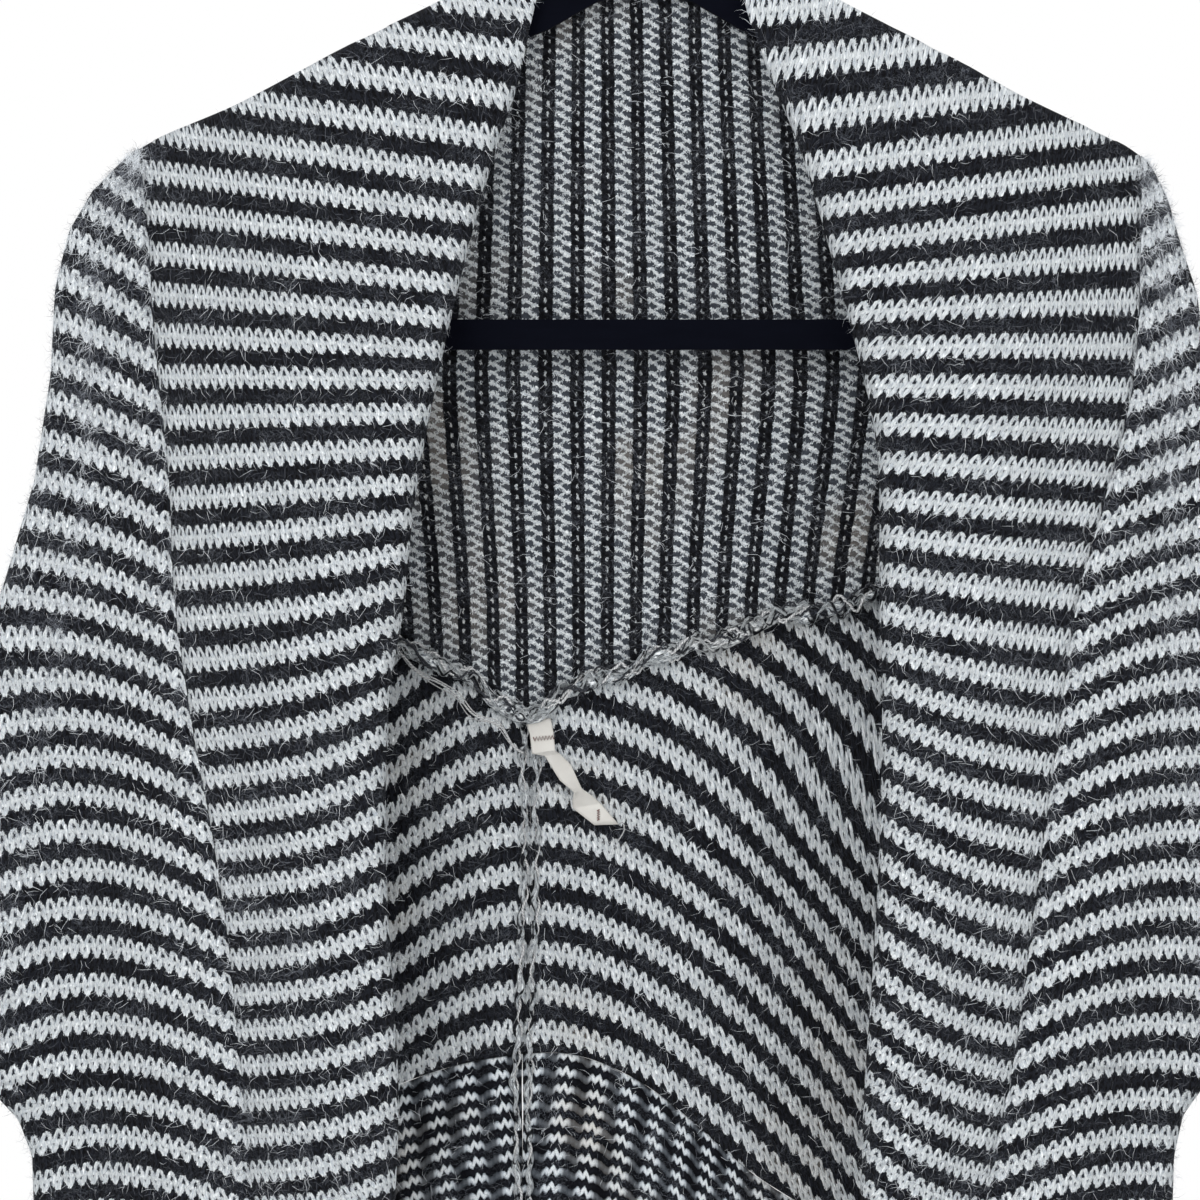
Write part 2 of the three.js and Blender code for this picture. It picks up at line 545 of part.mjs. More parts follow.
// ---------------------------------------------------------------- hanger
/** Flat velvet-covered frame: two arms, their turned-down ends and the bar, round one opening. */
function hangerBody() {
  const arm = (x) => read(ARM, "x", Math.abs(x), "z");
  const deep = (x) => read(ARM, "x", Math.abs(x), "deep");
  const steps = shares(10).map((s) => mix(0, 206, s));
  const barLow = BAR_TOP - BAR_HEIGHT;
  const half = [
    ...steps.map((x) => [x, arm(x)]),
    [ARM_LENGTH, -178], [ARM_LENGTH, -184], [204, -196],
    [BAR_HALF_LENGTH + 10, -238], [BAR_HALF_LENGTH, barLow + 3], [BAR_HALF_LENGTH - 8, barLow],
  ];
  const outline = [...half, ...half.slice(1).reverse().map(([x, z]) => [-x, z])];
  const inner = [
    ...steps.slice(0, 9).map((x) => [x, arm(x) - deep(x)]),
    [190, -184], [192, -194], [BAR_HALF_LENGTH - 3, -236], [BAR_HALF_LENGTH - 12, BAR_TOP],
  ];
  const hole = [...inner, ...inner.slice(1).reverse().map(([x, z]) => [-x, z])];
  const toPath = (points) => points.map(([x, z]) => new THREE.Vector2(x, z));
  const shape = new THREE.Shape(toPath(outline.reverse()));
  shape.holes.push(new THREE.Path(toPath(hole)));
  const geometry = new THREE.ExtrudeGeometry(shape, { depth: ARM_THICKNESS, bevelEnabled: false });
  geometry.rotateX(Math.PI / 2);
  geometry.translate(0, ARM_THICKNESS / 2, 0);
  return geometry;
}

/** Wire hook: a shank that swings out and over the rail to a short point. */
function hook() {
  const radius = HOOK_INNER_RADIUS + HOOK_WIRE / 2;
  const centre = -HOOK_INNER_RADIUS;
  const bend = shares(9).map((s) => {
    const turn = mix(-0.75, Math.PI * 1.08, s);
    return new THREE.Vector3(radius * Math.cos(turn), 0, centre + radius * Math.sin(turn));
  });
  const route = new THREE.CatmullRomCurve3([
    new THREE.Vector3(0, 0, HOOK_FOOT), new THREE.Vector3(0, 0, HOOK_FOOT + 7.7), ...bend,
  ]);
  const sides = 8;
  const circle = shares(sides).slice(0, sides).map((s) =>
    new THREE.Vector2(Math.cos(s * 2 * Math.PI), Math.sin(s * 2 * Math.PI)).multiplyScalar(HOOK_WIRE / 2));
  return new THREE.ExtrudeGeometry(new THREE.Shape(circle), { steps: 30, extrudePath: route });
}

// ---------------------------------------------------------------- the object
const knit = { color: 0xb4b8c0, roughness: 0.95, metalness: 0 };
const cardigan = new THREE.Group();

function addPiece(name, geometry, look) {
  const mesh = new THREE.Mesh(geometry, new THREE.MeshStandardMaterial(look));
  mesh.name = name;
  cardigan.add(mesh);
}

for (const side of Object.keys(SIDES)) {
  addPiece(`front_${side}`, frontPanel(side), knit);
  addPiece(`sleeve_${side}`, sleevePanel(side), knit);
  addPiece(`back_lower_${side}`, lowerBack(side), knit);
  addPiece(`hem_band_${side}`, hemBand(side), { ...knit, color: 0x4a4e58 });
  addPiece(`cuff_${side}`, cuff(side), { ...knit, color: 0x4a4e58 });
}
addPiece("back_yoke", yoke(), knit);
addPiece("label_tape", tape(), { color: 0xe8e4da, roughness: 0.8, metalness: 0 });
addPiece("hanger_body", hangerBody(), { color: 0x08090f, roughness: 1, metalness: 0 });
addPiece("hanger_hook", hook(), { color: 0xb8babd, roughness: 0.25, metalness: 1 });

export default cardigan;
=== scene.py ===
"""Open-front cardigan of striped brushed knit on a velvet hanger: its finish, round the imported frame."""
import math

import bmesh
import bpy
import numpy as np
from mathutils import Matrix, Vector


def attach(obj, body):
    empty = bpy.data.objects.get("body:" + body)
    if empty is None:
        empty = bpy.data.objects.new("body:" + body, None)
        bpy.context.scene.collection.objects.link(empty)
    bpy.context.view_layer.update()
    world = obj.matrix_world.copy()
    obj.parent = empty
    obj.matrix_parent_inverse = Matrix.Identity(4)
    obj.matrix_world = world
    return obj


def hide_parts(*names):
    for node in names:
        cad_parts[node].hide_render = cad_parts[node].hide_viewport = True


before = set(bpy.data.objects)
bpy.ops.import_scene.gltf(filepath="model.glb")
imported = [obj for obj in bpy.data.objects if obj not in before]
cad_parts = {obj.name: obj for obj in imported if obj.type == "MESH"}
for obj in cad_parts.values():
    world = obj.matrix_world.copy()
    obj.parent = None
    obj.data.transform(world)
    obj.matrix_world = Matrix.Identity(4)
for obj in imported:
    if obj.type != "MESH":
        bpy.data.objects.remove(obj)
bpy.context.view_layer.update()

MM = 0.001
SIDES = {"left": -1, "right": 1}
rng = np.random.default_rng(7)

# ---- sizes, in millimetres
WALL = 3.0
STEP = 3.2  # spacing of the cloth's points
ROLL_STEP = 2.2  # spacing round the rolled selvedge
WALE = 4.9  # width of a stitch
NARROW_WALE, WIDE_WALE = 3.7, 5.2  # width of a stitch beside the sleeve seam and near the front edge
SLEEVE_WALE = 5.4
YOKE_WALE = 4.5
RIB_STITCH = 3.65
RIB_ROW = 3.65
FRONT_WIDTH, FRONT_LENGTH = 140.0, 560.0  # these set how many points a front has
BACK_WIDTH, YOKE_HEIGHT, LOWER_BACK_HEIGHT = 400.0, 290.0, 240.0  # and the back
SEAM_GAP = 0.3
LAP_GAP = 0.8
RIDGE_RADIUS = 6.0
FOLD_RADIUS = 10.0
SIDE_SWELL = 45.0
SLEEVE_HALF_DEPTH = 12.0
ROLL_WIDTH = 27.0
ROLL_ANGLE = 2.9
ROLL_START, ROLL_FULL = 14.0, 90.0
SHOULDER_LAP = 8.0
FRONT_HEM = -665.0
BAND_HEIGHT = 68.0
CUFF_HEIGHT = 56.0
CUFF_TAPER = 0.9
SEAM_DIP = 1.9  # how far the cloth sinks at a seam
SEAM_HALF_WIDTH = 4.0
FOLD_AT_UNDERARM = 0.79
SLANT = math.cos(math.atan2(24, 49))


def rows(columns, *lines):
    """A short table: its named columns as arrays."""
    return {name: np.array(values, float) for name, values in zip(columns.split(), zip(*lines))}


SHOULDER = {
    "left": rows("x z", (-42, -84), (-92, -109), (-129, -127), (-176, -152), (-209, -166)),
    "right": rows("x z", (39, -83), (88, -109), (137, -134), (162, -148), (208, -170)),
}
OUTER_FOLD = {
    "left": rows("x z", (-222, -173), (-238, -189), (-248, -206), (-254, -230), (-256, -268), (-263, -314),
                 (-276, -358), (-294, -408), (-339, -537), (-354, -580), (-379, -668)),
    "right": rows("x z", (217, -176), (225, -191), (231, -212), (238, -233), (246, -300), (257, -357),
                  (271, -408), (290, -473), (310, -537), (323, -580), (348, -668)),
}
BODY_SIDE = {
    "left": rows("x z", (-284, -575), (-270, -590), (-264, -606), (-262, -668), (-258, -740)),
    "right": rows("x z", (245, -570), (232, -588), (228, -606), (226, -668), (222, -740)),
}
UNDER_SLEEVE = {
    "left": rows("x z", (-284, -575), (-293, -592), (-306, -688)),
    "right": rows("x z", (245, -570), (254, -588), (275, -688)),
}
ARMHOLE_SEAM = {
    "left": rows("z x", (-168, -219), (-206, -214), (-249, -211), (-314, -204), (-365, -201), (-417, -193.5),
                 (-464, -185), (-516, -177.5), (-559, -173), (-611, -168), (-665, -160)),
    "right": rows("z x", (-172, 214), (-206, 214), (-251, 212), (-282, 208), (-326, 196), (-365, 185),
                  (-431, 175), (-494, 166), (-558, 158), (-612, 147), (-665, 139)),
}
FRONT_EDGE = {
    "left": rows("z x", (-84, -42), (-132, -53), (-165, -64), (-199, -74), (-257, -88), (-320, -100),
                 (-365, -104.5), (-408, -111), (-473, -112.5), (-516, -110.5), (-580, -107), (-665, -111)),
    "right": rows("z x", (-83, 39), (-118, 46), (-163, 66), (-209, 80), (-271, 96), (-305, 101.5),
                  (-365, 102), (-408, 103), (-473, 101.5), (-529, 98.5), (-580, 95), (-665, 93)),
}
YOKE_HEM = rows("x z", (-202, -350), (-150, -368), (-108, -383), (-75, -401), (-50, -414), (-23, -400),
                (34, -381), (66, -371), (100, -364), (150, -354), (189, -350))
NECK_BACK = rows("x z", (-44, -93), (-20, -96), (16, -96), (41, -92))
BACK_HEM = rows("x z", (-262, -668), (-205, -628), (-107, -577), (-41, -563), (0, -577), (56, -622),
                (110, -648), (226, -668))
CENTRE_BACK = rows("z x", (-414, -50), (-491, -50), (-563, -53), (-640, -53))
DEPTH = rows("z front back", (-90, 8, 8), (-150, 17, 10), (-200, 23, 12), (-250, 28, 14), (-350, 34, 16),
             (-450, 38, 18), (-600, 41, 20), (-740, 42, 21))
# Ridges (+) and troughs (-) of the cloth, on the front (-1) or the back (1).
FOLDS = rows(
    "layer x_top z_top x_low z_low width rise",
    (-1, -120, -170, -152, -700, 24, 5), (-1, -190, -250, -205, -700, 22, 5),
    (-1, -240, -330, -236, -640, 13, -4), (-1, 150, -200, 148, -520, 26, 5),
    (-1, 120, -330, 118, -700, 16, 4), (-1, 205, -330, 196, -700, 20, 5),
    (1, -130, -260, -150, -700, 30, 6), (1, 60, -240, 80, -700, 26, 5), (1, 165, -300, 190, -700, 24, -5),
    (-1, -215, -190, -224, -330, 9, -2.2), (-1, -231, -560, -262, -668, 8, -3.2),
    (-1, -262, -470, -250, -560, 7, -3.4), (-1, -154, -300, -171, -520, 11, -2.4),
    (-1, 178, -230, 160, -420, 10, -2.2), (-1, 133, -420, 128, -640, 9, -2.2),
    (-1, 214, -500, 200, -640, 8, -3), (-1, 262, -420, 250, -548, 8, -3),
    (1, -70, -440, -62, -560, 12, -2), (1, 20, -430, 44, -600, 14, -2.5), (1, -20, -110, -30, -250, 22, -1.6),
    (1, -226, -420, -238, -640, 12, -4), (1, 205, -400, 214, -640, 12, -4),
)
# Stripes of a front, by their height at the sleeve seam. n counts stripes down the piece, and rise and curl
# are how far a stripe has climbed at the front edge, evenly and in its last part.
FRONT_STRIPES = {
    "left": rows(
        "z n rise curl", (-80, -4.2, -24, 0), (-158.7, 0, -22, 0), (-230, 4, -12, 0), (-280, 6.8, 0, 0),
        (-318, 8.95, 5, 1), (-353, 11, 6, 5), (-422.3, 15, 6, 13), (-516, 21, 4, 10), (-620, 27.9, 4, 8),
        (-670, 31.2, 4, 8)),
    "right": rows(
        "z n rise curl", (-90, -3, -17, 0), (-157, 0, -18, 0), (-193, 2, -17, 0), (-252.4, 5, -2, 0),
        (-308.3, 8, 5, 0), (-360.8, 11, 7, 3), (-398.6, 13, 10, 5), (-466.6, 17, 13, 11),
        (-516.9, 20, 15, 13), (-564.6, 23, 15, 13), (-623.5, 27, 14, 13), (-668, 30, 13, 12)),
}
# Stripes of a sleeve, by their height at the same seam: they climb outward, level out at `peak` and fall.
SLEEVE_STRIPES = rows(
    "z n climb peak", (-150, -2.3, 0.72, 200), (-190.5, 0, 0.68, 200), (-237, 2.7, 0.6, 180),
    (-280, 5.1, 0.52, 140), (-365, 10, 0.5, 95), (-415, 13, 0.6, 62), (-480, 17, 0.6, 60),
    (-640, 27, 0.5, 60), (-745, 34, 0.5, 60))
SLEEVE_FALL = 0.42  # the steepest fall
# Width of a stripe of the yoke, which is knitted sideways.
YOKE_STRIPES = rows("z pitch", (-90, 12.4), (-150, 12.9), (-231, 13.6), (-271, 13.9), (-361, 12.6),
                    (-420, 12.2))
LOWER_STRIPE = 17.2  # height of a stripe of the lower back
ROWS_PER_STRIPE = 4


def read(table, by, at, column):
    """Value of a column where `by` is `at`, smooth between rows."""
    key, value = table[by], table[column]
    if key[0] > key[-1]:
        key, value = key[::-1], value[::-1]
    at = np.asarray(at, float)
    i = np.clip(np.searchsorted(key, at) - 1, 0, len(key) - 2)
    before, after = np.maximum(i - 1, 0), np.minimum(i + 2, len(key) - 1)
    width = key[i + 1] - key[i]
    t = np.clip((at - key[i]) / width, 0, 1)
    slope_a = (value[i + 1] - value[before]) / (key[i + 1] - key[before]) * width
    slope_b = (value[after] - value[i]) / (key[after] - key[i]) * width
    return (
        (2 * t**3 - 3 * t**2 + 1) * value[i] + (t**3 - 2 * t**2 + t) * slope_a
        + (3 * t**2 - 2 * t**3) * value[i + 1] + (t**3 - t**2) * slope_b
    )


def ease(t):
    t = np.clip(t, 0, 1)
    return t * t * (3 - 2 * t)


def mix(a, b, t):
    return a + (b - a) * t


def joined(*tables):
    """Polylines put end to end."""
    return {k: np.concatenate([t[k] for t in tables]) for k in ("x", "z")}


def run_of(points):
    """Length along a route up to each of its points."""
    return np.concatenate([[0], np.cumsum(np.linalg.norm(np.diff(points, axis=0), axis=1))])


def point_along(line, t):
    """Points at shares t of a polyline's length."""
    run = np.concatenate([[0], np.cumsum(np.hypot(np.diff(line["x"]), np.diff(line["z"])))])
    at = np.clip(t, 0, 1) * run[-1]
    return np.interp(at, run, line["x"]), np.interp(at, run, line["z"])


def away_from(line, x, z):
    """Distance to a polyline."""
    best = np.full(np.shape(x), np.inf)
    for ax, az, bx, bz in zip(line["x"], line["z"], line["x"][1:], line["z"][1:]):
        dx, dz = bx - ax, bz - az
        t = np.clip(((x - ax) * dx + (z - az) * dz) / (dx * dx + dz * dz), 0, 1)
        best = np.minimum(best, np.hypot(x - ax - dx * t, z - az - dz * t))
    return best


OUTLINE = {s: joined(SHOULDER[s], OUTER_FOLD[s]) for s in SIDES}


def seam_x(side, z):
    """Place of the seam between a sleeve and the body."""
    return read(ARMHOLE_SEAM[side], "z", z, "x")


def crest(side, x):
    """Height of the shoulder's fold."""
    line = {k: v[: len(SHOULDER[side]["x"]) + 1] for k, v in OUTLINE[side].items()}
    return read(line, "x", x, "z")


def centre_x(z):
    return read(CENTRE_BACK, "z", z, "x")


def stand_off(layer, x, z):
    """How far the middle of the wall stands from the hanger's plane."""
    left = x < -3
    away = np.where(left, away_from(OUTLINE["left"], x, z), away_from(OUTLINE["right"], x, z))
    for line in (BODY_SIDE, UNDER_SLEEVE):
        under = np.where(left, away_from(line["left"], x, z), away_from(line["right"], x, z))
        away = np.minimum(away, under)
    outward = np.maximum(ease((np.abs(x) - 214) / 30), ease((-z - 300) / 100))
    radius = mix(RIDGE_RADIUS, FOLD_RADIUS, outward)
    rounded = np.sqrt(np.maximum(radius**2 - (radius - np.minimum(away, radius)) ** 2, 0))
    body = read(DEPTH, "z", z, "front" if layer < 0 else "back")
    full = mix(body, SLEEVE_HALF_DEPTH, ease((np.abs(x) - 170) / 100))
    swell = 1 - np.exp(np.minimum(radius - away, 0) / SIDE_SWELL)
    y = radius + np.maximum(full - radius, 0) * swell
    for f in range(len(FOLDS["layer"])):
        fold = {k: v[f] for k, v in FOLDS.items()}
        if fold["layer"] != layer:
            continue
        t = (z - fold["z_top"]) / (fold["z_low"] - fold["z_top"])
        centre = mix(fold["x_top"], fold["x_low"], np.clip(t, 0, 1))
        fade = ease(t * 3) * ease((1.15 - t) * 4)
        y = y + fold["rise"] * fade * swell * np.exp(-(((x - centre) / fold["width"]) ** 2))
    seam = np.where(left, x - seam_x("left", z), x - seam_x("right", z))
    y = y - SEAM_DIP * np.exp(-((seam / SEAM_HALF_WIDTH) ** 2)) * ease((away - radius) / 12)
    y = y + 0.5 * np.sin(x / 17 + z / 29 + layer) * np.sin(z / 23 - x / 41) * ease((away - radius) / 20)
    return np.where(away < radius, rounded, y)


def outward_of(points, turn):
    """Outward direction of a grid whose first `turn` columns lie on the front and the rest on the back."""
    outward = np.zeros_like(points)
    outward[:, :turn, 1] = -1
    outward[:, turn:, 1] = 1
    return outward


def on_form(layer, x, z):
    """Points of the cloth's form, on its front (-1) or back (1) layer."""
    return np.stack([x, layer * stand_off(layer, x, z), z], -1)


def shares(length, step=STEP):
    """Even shares from 0 to 1 of a length, about a step apart."""
    return np.linspace(0, 1, max(int(round(length / step)), 2) + 1)


def run_along(points, start):
    """Length along each row of a grid, from column `start`."""
    steps = np.linalg.norm(np.diff(points, axis=1), axis=2)
    run = np.concatenate([np.zeros((len(points), 1)), np.cumsum(steps, axis=1)], 1)
    return run - run[:, start : start + 1]


# ---- stripes
def wales(share):
    """Width of a stitch on a front, by share of the way from the sleeve seam to the edge."""
    return mix(NARROW_WALE, WIDE_WALE, ease((share - 0.12) / 0.4))


def front_rows(side, x, z):
    """Row number of the knitting at (x, z) on a front: two white rows, then two black, make a stripe."""
    table = FRONT_STRIPES[side]
    level = z.copy()
    outer, edge = seam_x(side, z), read(FRONT_EDGE[side], "z", z, "x")
    p = np.clip((x - outer) / (edge - outer), 0, 1.1)
    for _ in range(6):
        level = z - read(table, "z", level, "rise") * p - read(table, "z", level, "curl") * p**3
    return ROWS_PER_STRIPE * read(table, "z", level, "n")


def sleeve_rows(side, x, z):
    level = z.copy()
    out = np.maximum((x - seam_x(side, z)) * SIDES[side], 0)
    for _ in range(8):
        climb, peak = read(SLEEVE_STRIPES, "z", level, "climb"), read(SLEEVE_STRIPES, "z", level, "peak")
        turn = peak * (1 + SLEEVE_FALL / climb)
        near = np.minimum(out, turn)
        gain = climb * near * (1 - near / peak / 2) - SLEEVE_FALL * np.maximum(out - turn, 0)
        level = z - gain
    return ROWS_PER_STRIPE * read(SLEEVE_STRIPES, "z", level, "n")


def lower_back_rows(x, z):
    """Row number at (x, z) on the lower back, where the stripes arch over the centre seam."""
    away = x - centre_x(z)
    bend = np.where(away < 0, 0.0082, mix(0.0044, 0.0062, ease((-z - 400) / 80)))
    near = np.minimum(np.abs(away), 150)
    arch = bend * near**2 / (1 + near / 400) + 0.75 * (np.abs(away) - near)
    return ROWS_PER_STRIPE * (-(z + arch) - 414.0) / LOWER_STRIPE + 0.4


def yoke_rows(x, z):
    """Row number at (x, z) on the yoke, counted across it."""
    return ROWS_PER_STRIPE * (x + 22.8) / read(YOKE_STRIPES, "z", z, "pitch") + 1.0


# ---- meshes
def object_of(name, mesh):
    piece = bpy.data.objects.new(name, mesh)
    bpy.context.scene.collection.objects.link(piece)
    return piece


def mesh_of(name, vertices, faces, uv=None):
    """A smooth mesh from points in millimetres, with a UV for each point."""
    mesh = bpy.data.meshes.new(name)
    mesh.from_pydata((np.asarray(vertices) * MM).tolist(), [], [list(map(int, f)) for f in faces])
    if uv is not None:
        corner = np.zeros(len(mesh.loops), int)
        mesh.loops.foreach_get("vertex_index", corner)
        layer = mesh.uv_layers.new(name="Knit")
        layer.uv.foreach_set("vector", np.asarray(uv, np.float32)[corner].ravel())
    mesh.polygons.foreach_set("use_smooth", [True] * len(mesh.polygons))
    return mesh


def grid_faces(n, m, first=0, flip=False):
    """Quads of a grid of n rows and m columns whose points start at index `first`."""
    i = np.arange(n * m).reshape(n, m) + first
    quads = np.stack([i[:-1, :-1], i[:-1, 1:], i[1:, 1:], i[1:, :-1]], -1).reshape(-1, 4)
    return quads[:, ::-1] if flip else quads


def facing(points, outward):
    """Whether a grid's faces must be turned to look along `outward`."""
    across = points[1:, 1:] - points[:-1, :-1]
    other = points[1:, :-1] - points[:-1, 1:]
    normal = np.cross(across, other)
    return float((normal * outward[:-1, :-1]).sum()) < 0


def cloth(name, grids, materials, wall=WALL, inner_slot=0):
    """A wall about one or more grids of (points, uv, outward direction), joined where they meet."""
    vertices, uvs, faces, count = [], [], [], 0
    for points, uv, outward in grids:
        n, m = points.shape[:2]
        faces.extend(grid_faces(n, m, count, facing(points, outward)))
        vertices.append(points.reshape(-1, 3))
        uvs.append(uv.reshape(-1, 2))
        count += n * m
    mesh = mesh_of(name, np.concatenate(vertices), faces, np.concatenate(uvs))
    edit = bmesh.new()
    edit.from_mesh(mesh)
    bmesh.ops.remove_doubles(edit, verts=edit.verts, dist=0.02 * MM)
    edit.to_mesh(mesh)
    edit.free()
    area = sum(p.area for p in mesh.polygons)
    piece = object_of(name, mesh)
    for material in materials:
        mesh.materials.append(material)
    solid = piece.modifiers.new("Wall", "SOLIDIFY")
    solid.thickness = wall * MM
    solid.offset = 0
    solid.use_even_offset = False
    solid.material_offset = inner_slot
    bpy.context.view_layer.update()
    piece.data = bpy.data.meshes.new_from_object(piece.evaluated_get(bpy.context.evaluated_depsgraph_get()))
    piece.modifiers.clear()
    return piece, area


def tube(name, route, radius, material, sides=8):
    """A round strand along a route of points, with u along it and v round it."""
    route = np.asarray(route, float)
    tangent = np.gradient(route, axis=0)
    tangent /= np.linalg.norm(tangent, axis=1, keepdims=True)
    first = np.cross(tangent, [0.0, 1.0, 0.0])
    first /= np.linalg.norm(first, axis=1, keepdims=True) + 1e-9
    second = np.cross(tangent, first)
    turn = np.linspace(0, 2 * math.pi, sides + 1)
    radius = np.broadcast_to(radius, len(route))[:, None, None]
    points = route[:, None] + radius * (
        first[:, None] * np.cos(turn)[None, :, None] + second[:, None] * np.sin(turn)[None, :, None])
    run = run_of(route) / WALE
    uv = np.stack(np.broadcast_arrays(run[:, None], np.linspace(0, 2, sides + 1)[None]), -1)
    mesh = mesh_of(name, points.reshape(-1, 3), grid_faces(len(route), sides + 1), uv.reshape(-1, 2))
    edit = bmesh.new()
    edit.from_mesh(mesh)
    bmesh.ops.remove_doubles(edit, verts=edit.verts, dist=0.001 * MM)
    bmesh.ops.holes_fill(edit, edges=[e for e in edit.edges if e.is_boundary])
    bmesh.ops.recalc_face_normals(edit, faces=edit.faces)
    edit.to_mesh(mesh)
    edit.free()
    mesh.materials.append(material)
    return object_of(name, mesh)


def through(*points, step=1.5):
    """A smooth route through points."""
    points = np.array(points, float)
    run = run_of(points)
    table = {"s": run, **{k: points[:, i] for i, k in enumerate("xyz")}}
    at = np.linspace(0, run[-1], max(int(run[-1] / step), 3))
    return np.stack([read(table, "s", at, k) for k in "xyz"], -1)


# ---- materials
def operation(kind):
    return lambda value, *others: value.math(kind, *others)


class Value:
    """A number in a node tree, so that a material can be written as a formula."""

    def __init__(self, tree, socket):
        self.tree, self.socket = tree, socket

    def math(self, operation, *others, clamp=False):
        node = self.tree.nodes.new("ShaderNodeMath")
        node.operation = operation
        node.use_clamp = clamp
        for entry, value in zip(node.inputs, (self, *others)):
            if isinstance(value, Value):
                self.tree.links.new(value.socket, entry)
            else:
                entry.default_value = value
        return Value(self.tree, node.outputs[0])

    __add__, __sub__, __mul__, __truediv__ = map(operation, ("ADD", "SUBTRACT", "MULTIPLY", "DIVIDE"))
    less, above, most = map(operation, ("LESS_THAN", "GREATER_THAN", "MAXIMUM"))
    part, whole, size, sine = map(operation, ("FRACT", "FLOOR", "ABSOLUTE", "SINE"))

    def __neg__(self):
        return self * -1

    def step(self, low, high):
        """0 below low, 1 above high, smooth between."""
        node = self.tree.nodes.new("ShaderNodeMapRange")
        node.interpolation_type = "SMOOTHSTEP"
        self.tree.links.new(self.socket, node.inputs["Value"])
        node.inputs["From Min"].default_value = low
        node.inputs["From Max"].default_value = high
        return Value(self.tree, node.outputs["Result"])


class Finish:
    """A material under construction."""

    def __init__(self, name, roughness=0.95, sheen=0.0, metallic=0.0, specular=0.08):
        self.material = bpy.data.materials.new(name)
        self.material.use_nodes = True
        self.tree = self.material.node_tree
        self.shader = self.tree.nodes["Principled BSDF"]
        for socket, value in (("Roughness", roughness), ("Sheen Weight", sheen), ("Metallic", metallic),
                              ("Specular IOR Level", specular), ("Sheen Roughness", 0.45)):
            self.shader.inputs[socket].default_value = value
        self.coordinate = self.tree.nodes.new("ShaderNodeTexCoord")

    def uv(self):
        node = self.tree.nodes.new("ShaderNodeUVMap")
        node.uv_map = "Knit"
        split = self.tree.nodes.new("ShaderNodeSeparateXYZ")
        self.tree.links.new(node.outputs["UV"], split.inputs[0])
        return Value(self.tree, split.outputs[0]), Value(self.tree, split.outputs[1])

    def noise(self, scale, detail=2.0, stretch=None, distortion=0.0, uv=None):
        """Smooth noise from 0 to 1 in object space (scale per metre), or over a pair of values."""
        node = self.tree.nodes.new("ShaderNodeTexNoise")
        node.inputs["Scale"].default_value = scale
        node.inputs["Detail"].default_value = detail
        node.inputs["Distortion"].default_value = distortion
        source = self.coordinate.outputs["Object"]
        if uv:
            join = self.tree.nodes.new("ShaderNodeCombineXYZ")
            for entry, value in zip(join.inputs, uv):
                self.tree.links.new(value.socket, entry)
            source = join.outputs[0]
        if stretch:
            mapping = self.tree.nodes.new("ShaderNodeMapping")
            mapping.inputs["Scale"].default_value = stretch
            self.tree.links.new(source, mapping.inputs["Vector"])
            source = mapping.outputs[0]
        self.tree.links.new(source, node.inputs["Vector"])
        return Value(self.tree, node.outputs["Fac"])

    def blend(self, a, b, share):
        node = self.tree.nodes.new("ShaderNodeMix")
        node.data_type = "RGBA"
        for entry, value in ((node.inputs[6], a), (node.inputs[7], b)):
            if isinstance(value, tuple):
                entry.default_value = (*value, 1)
            else:
                self.tree.links.new(value, entry)
        if isinstance(share, Value):
            self.tree.links.new(share.socket, node.inputs[0])
        else:
            node.inputs[0].default_value = share
        return node.outputs[2]

    def done(self, colour, height=None, depth_mm=0.0):
        """The material, with its colour and its relief."""
        self.tree.links.new(colour, self.shader.inputs["Base Color"])
        if height:
            node = self.tree.nodes.new("ShaderNodeBump")
            node.inputs["Distance"].default_value = depth_mm * MM
            self.tree.links.new(height.socket, node.inputs["Height"])
            self.tree.links.new(node.outputs[0], self.shader.inputs["Normal"])
        return self.material


# Yarn colours, with the painted shade colours for the gaps between stitches.
WHITE_YARN, WHITE_PAINTED_SHADE, WHITE_PAINTED_GAP_SHADE = (0.93, 0.975, 1.0), (0.43, 0.50, 0.58), (0.022, 0.026, 0.036)
BLACK_YARN, BLACK_PAINTED_SHADE = (0.013, 0.015, 0.022), (0.001, 0.0013, 0.003)
HAIR_GREY = (0.20, 0.22, 0.26)
# Brownish tint: painted shade as inside the garment, laid in noise patches on the inner and lower pieces.
BROWN_PAINTED_SHADE = (0.62, 0.52, 0.40)


def yarn_colours(finish, white, height, fibre, hair, brown_shade=0.0):
    """Colour of two-tone hairy yarn: `white` is 0 or 1, `height` the roundness of the yarn, whose low parts
    get painted shade; `brown_shade` adds brownish painted shade in patches.
    """
    # Painted shade: where the yarn lies low between stitches, the white darkens to grey and near black, and
    # the black to a deeper black.
    light = finish.blend(WHITE_PAINTED_GAP_SHADE, WHITE_PAINTED_SHADE, height.step(-0.1, 0.45))
    raised = (height.step(0.05, 0.7) * (fibre + 0.3)).math("ADD", 0, clamp=True)
    light = finish.blend(light, WHITE_YARN, raised)
    # Brownish painted shade, in noise patches on the white yarn.
    if brown_shade:
        light = finish.blend(light, BROWN_PAINTED_SHADE, finish.noise(18, 2).step(0.5, 0.78) * brown_shade)
    dark = finish.blend(BLACK_PAINTED_SHADE, BLACK_YARN, (height.step(0.0, 0.9) * fibre * 1.4))
    base = finish.blend(dark, light, white)
    return finish.blend(base, HAIR_GREY, hair * ((-white) + 1.25) * 0.42)


def hairs(finish):
    """Thin curling lines, as loose hairs lie on brushed knit."""
    lines = None
    for scale, width in ((190, 0.013), (310, 0.016), (460, 0.02)):
        band = (finish.noise(scale, 1.0, distortion=0.9) - 0.5).size()
        line = -band.step(0, width) + 1
        lines = line if lines is None else lines.most(line)
    return lines * finish.noise(60, 2).step(0.4, 0.62)


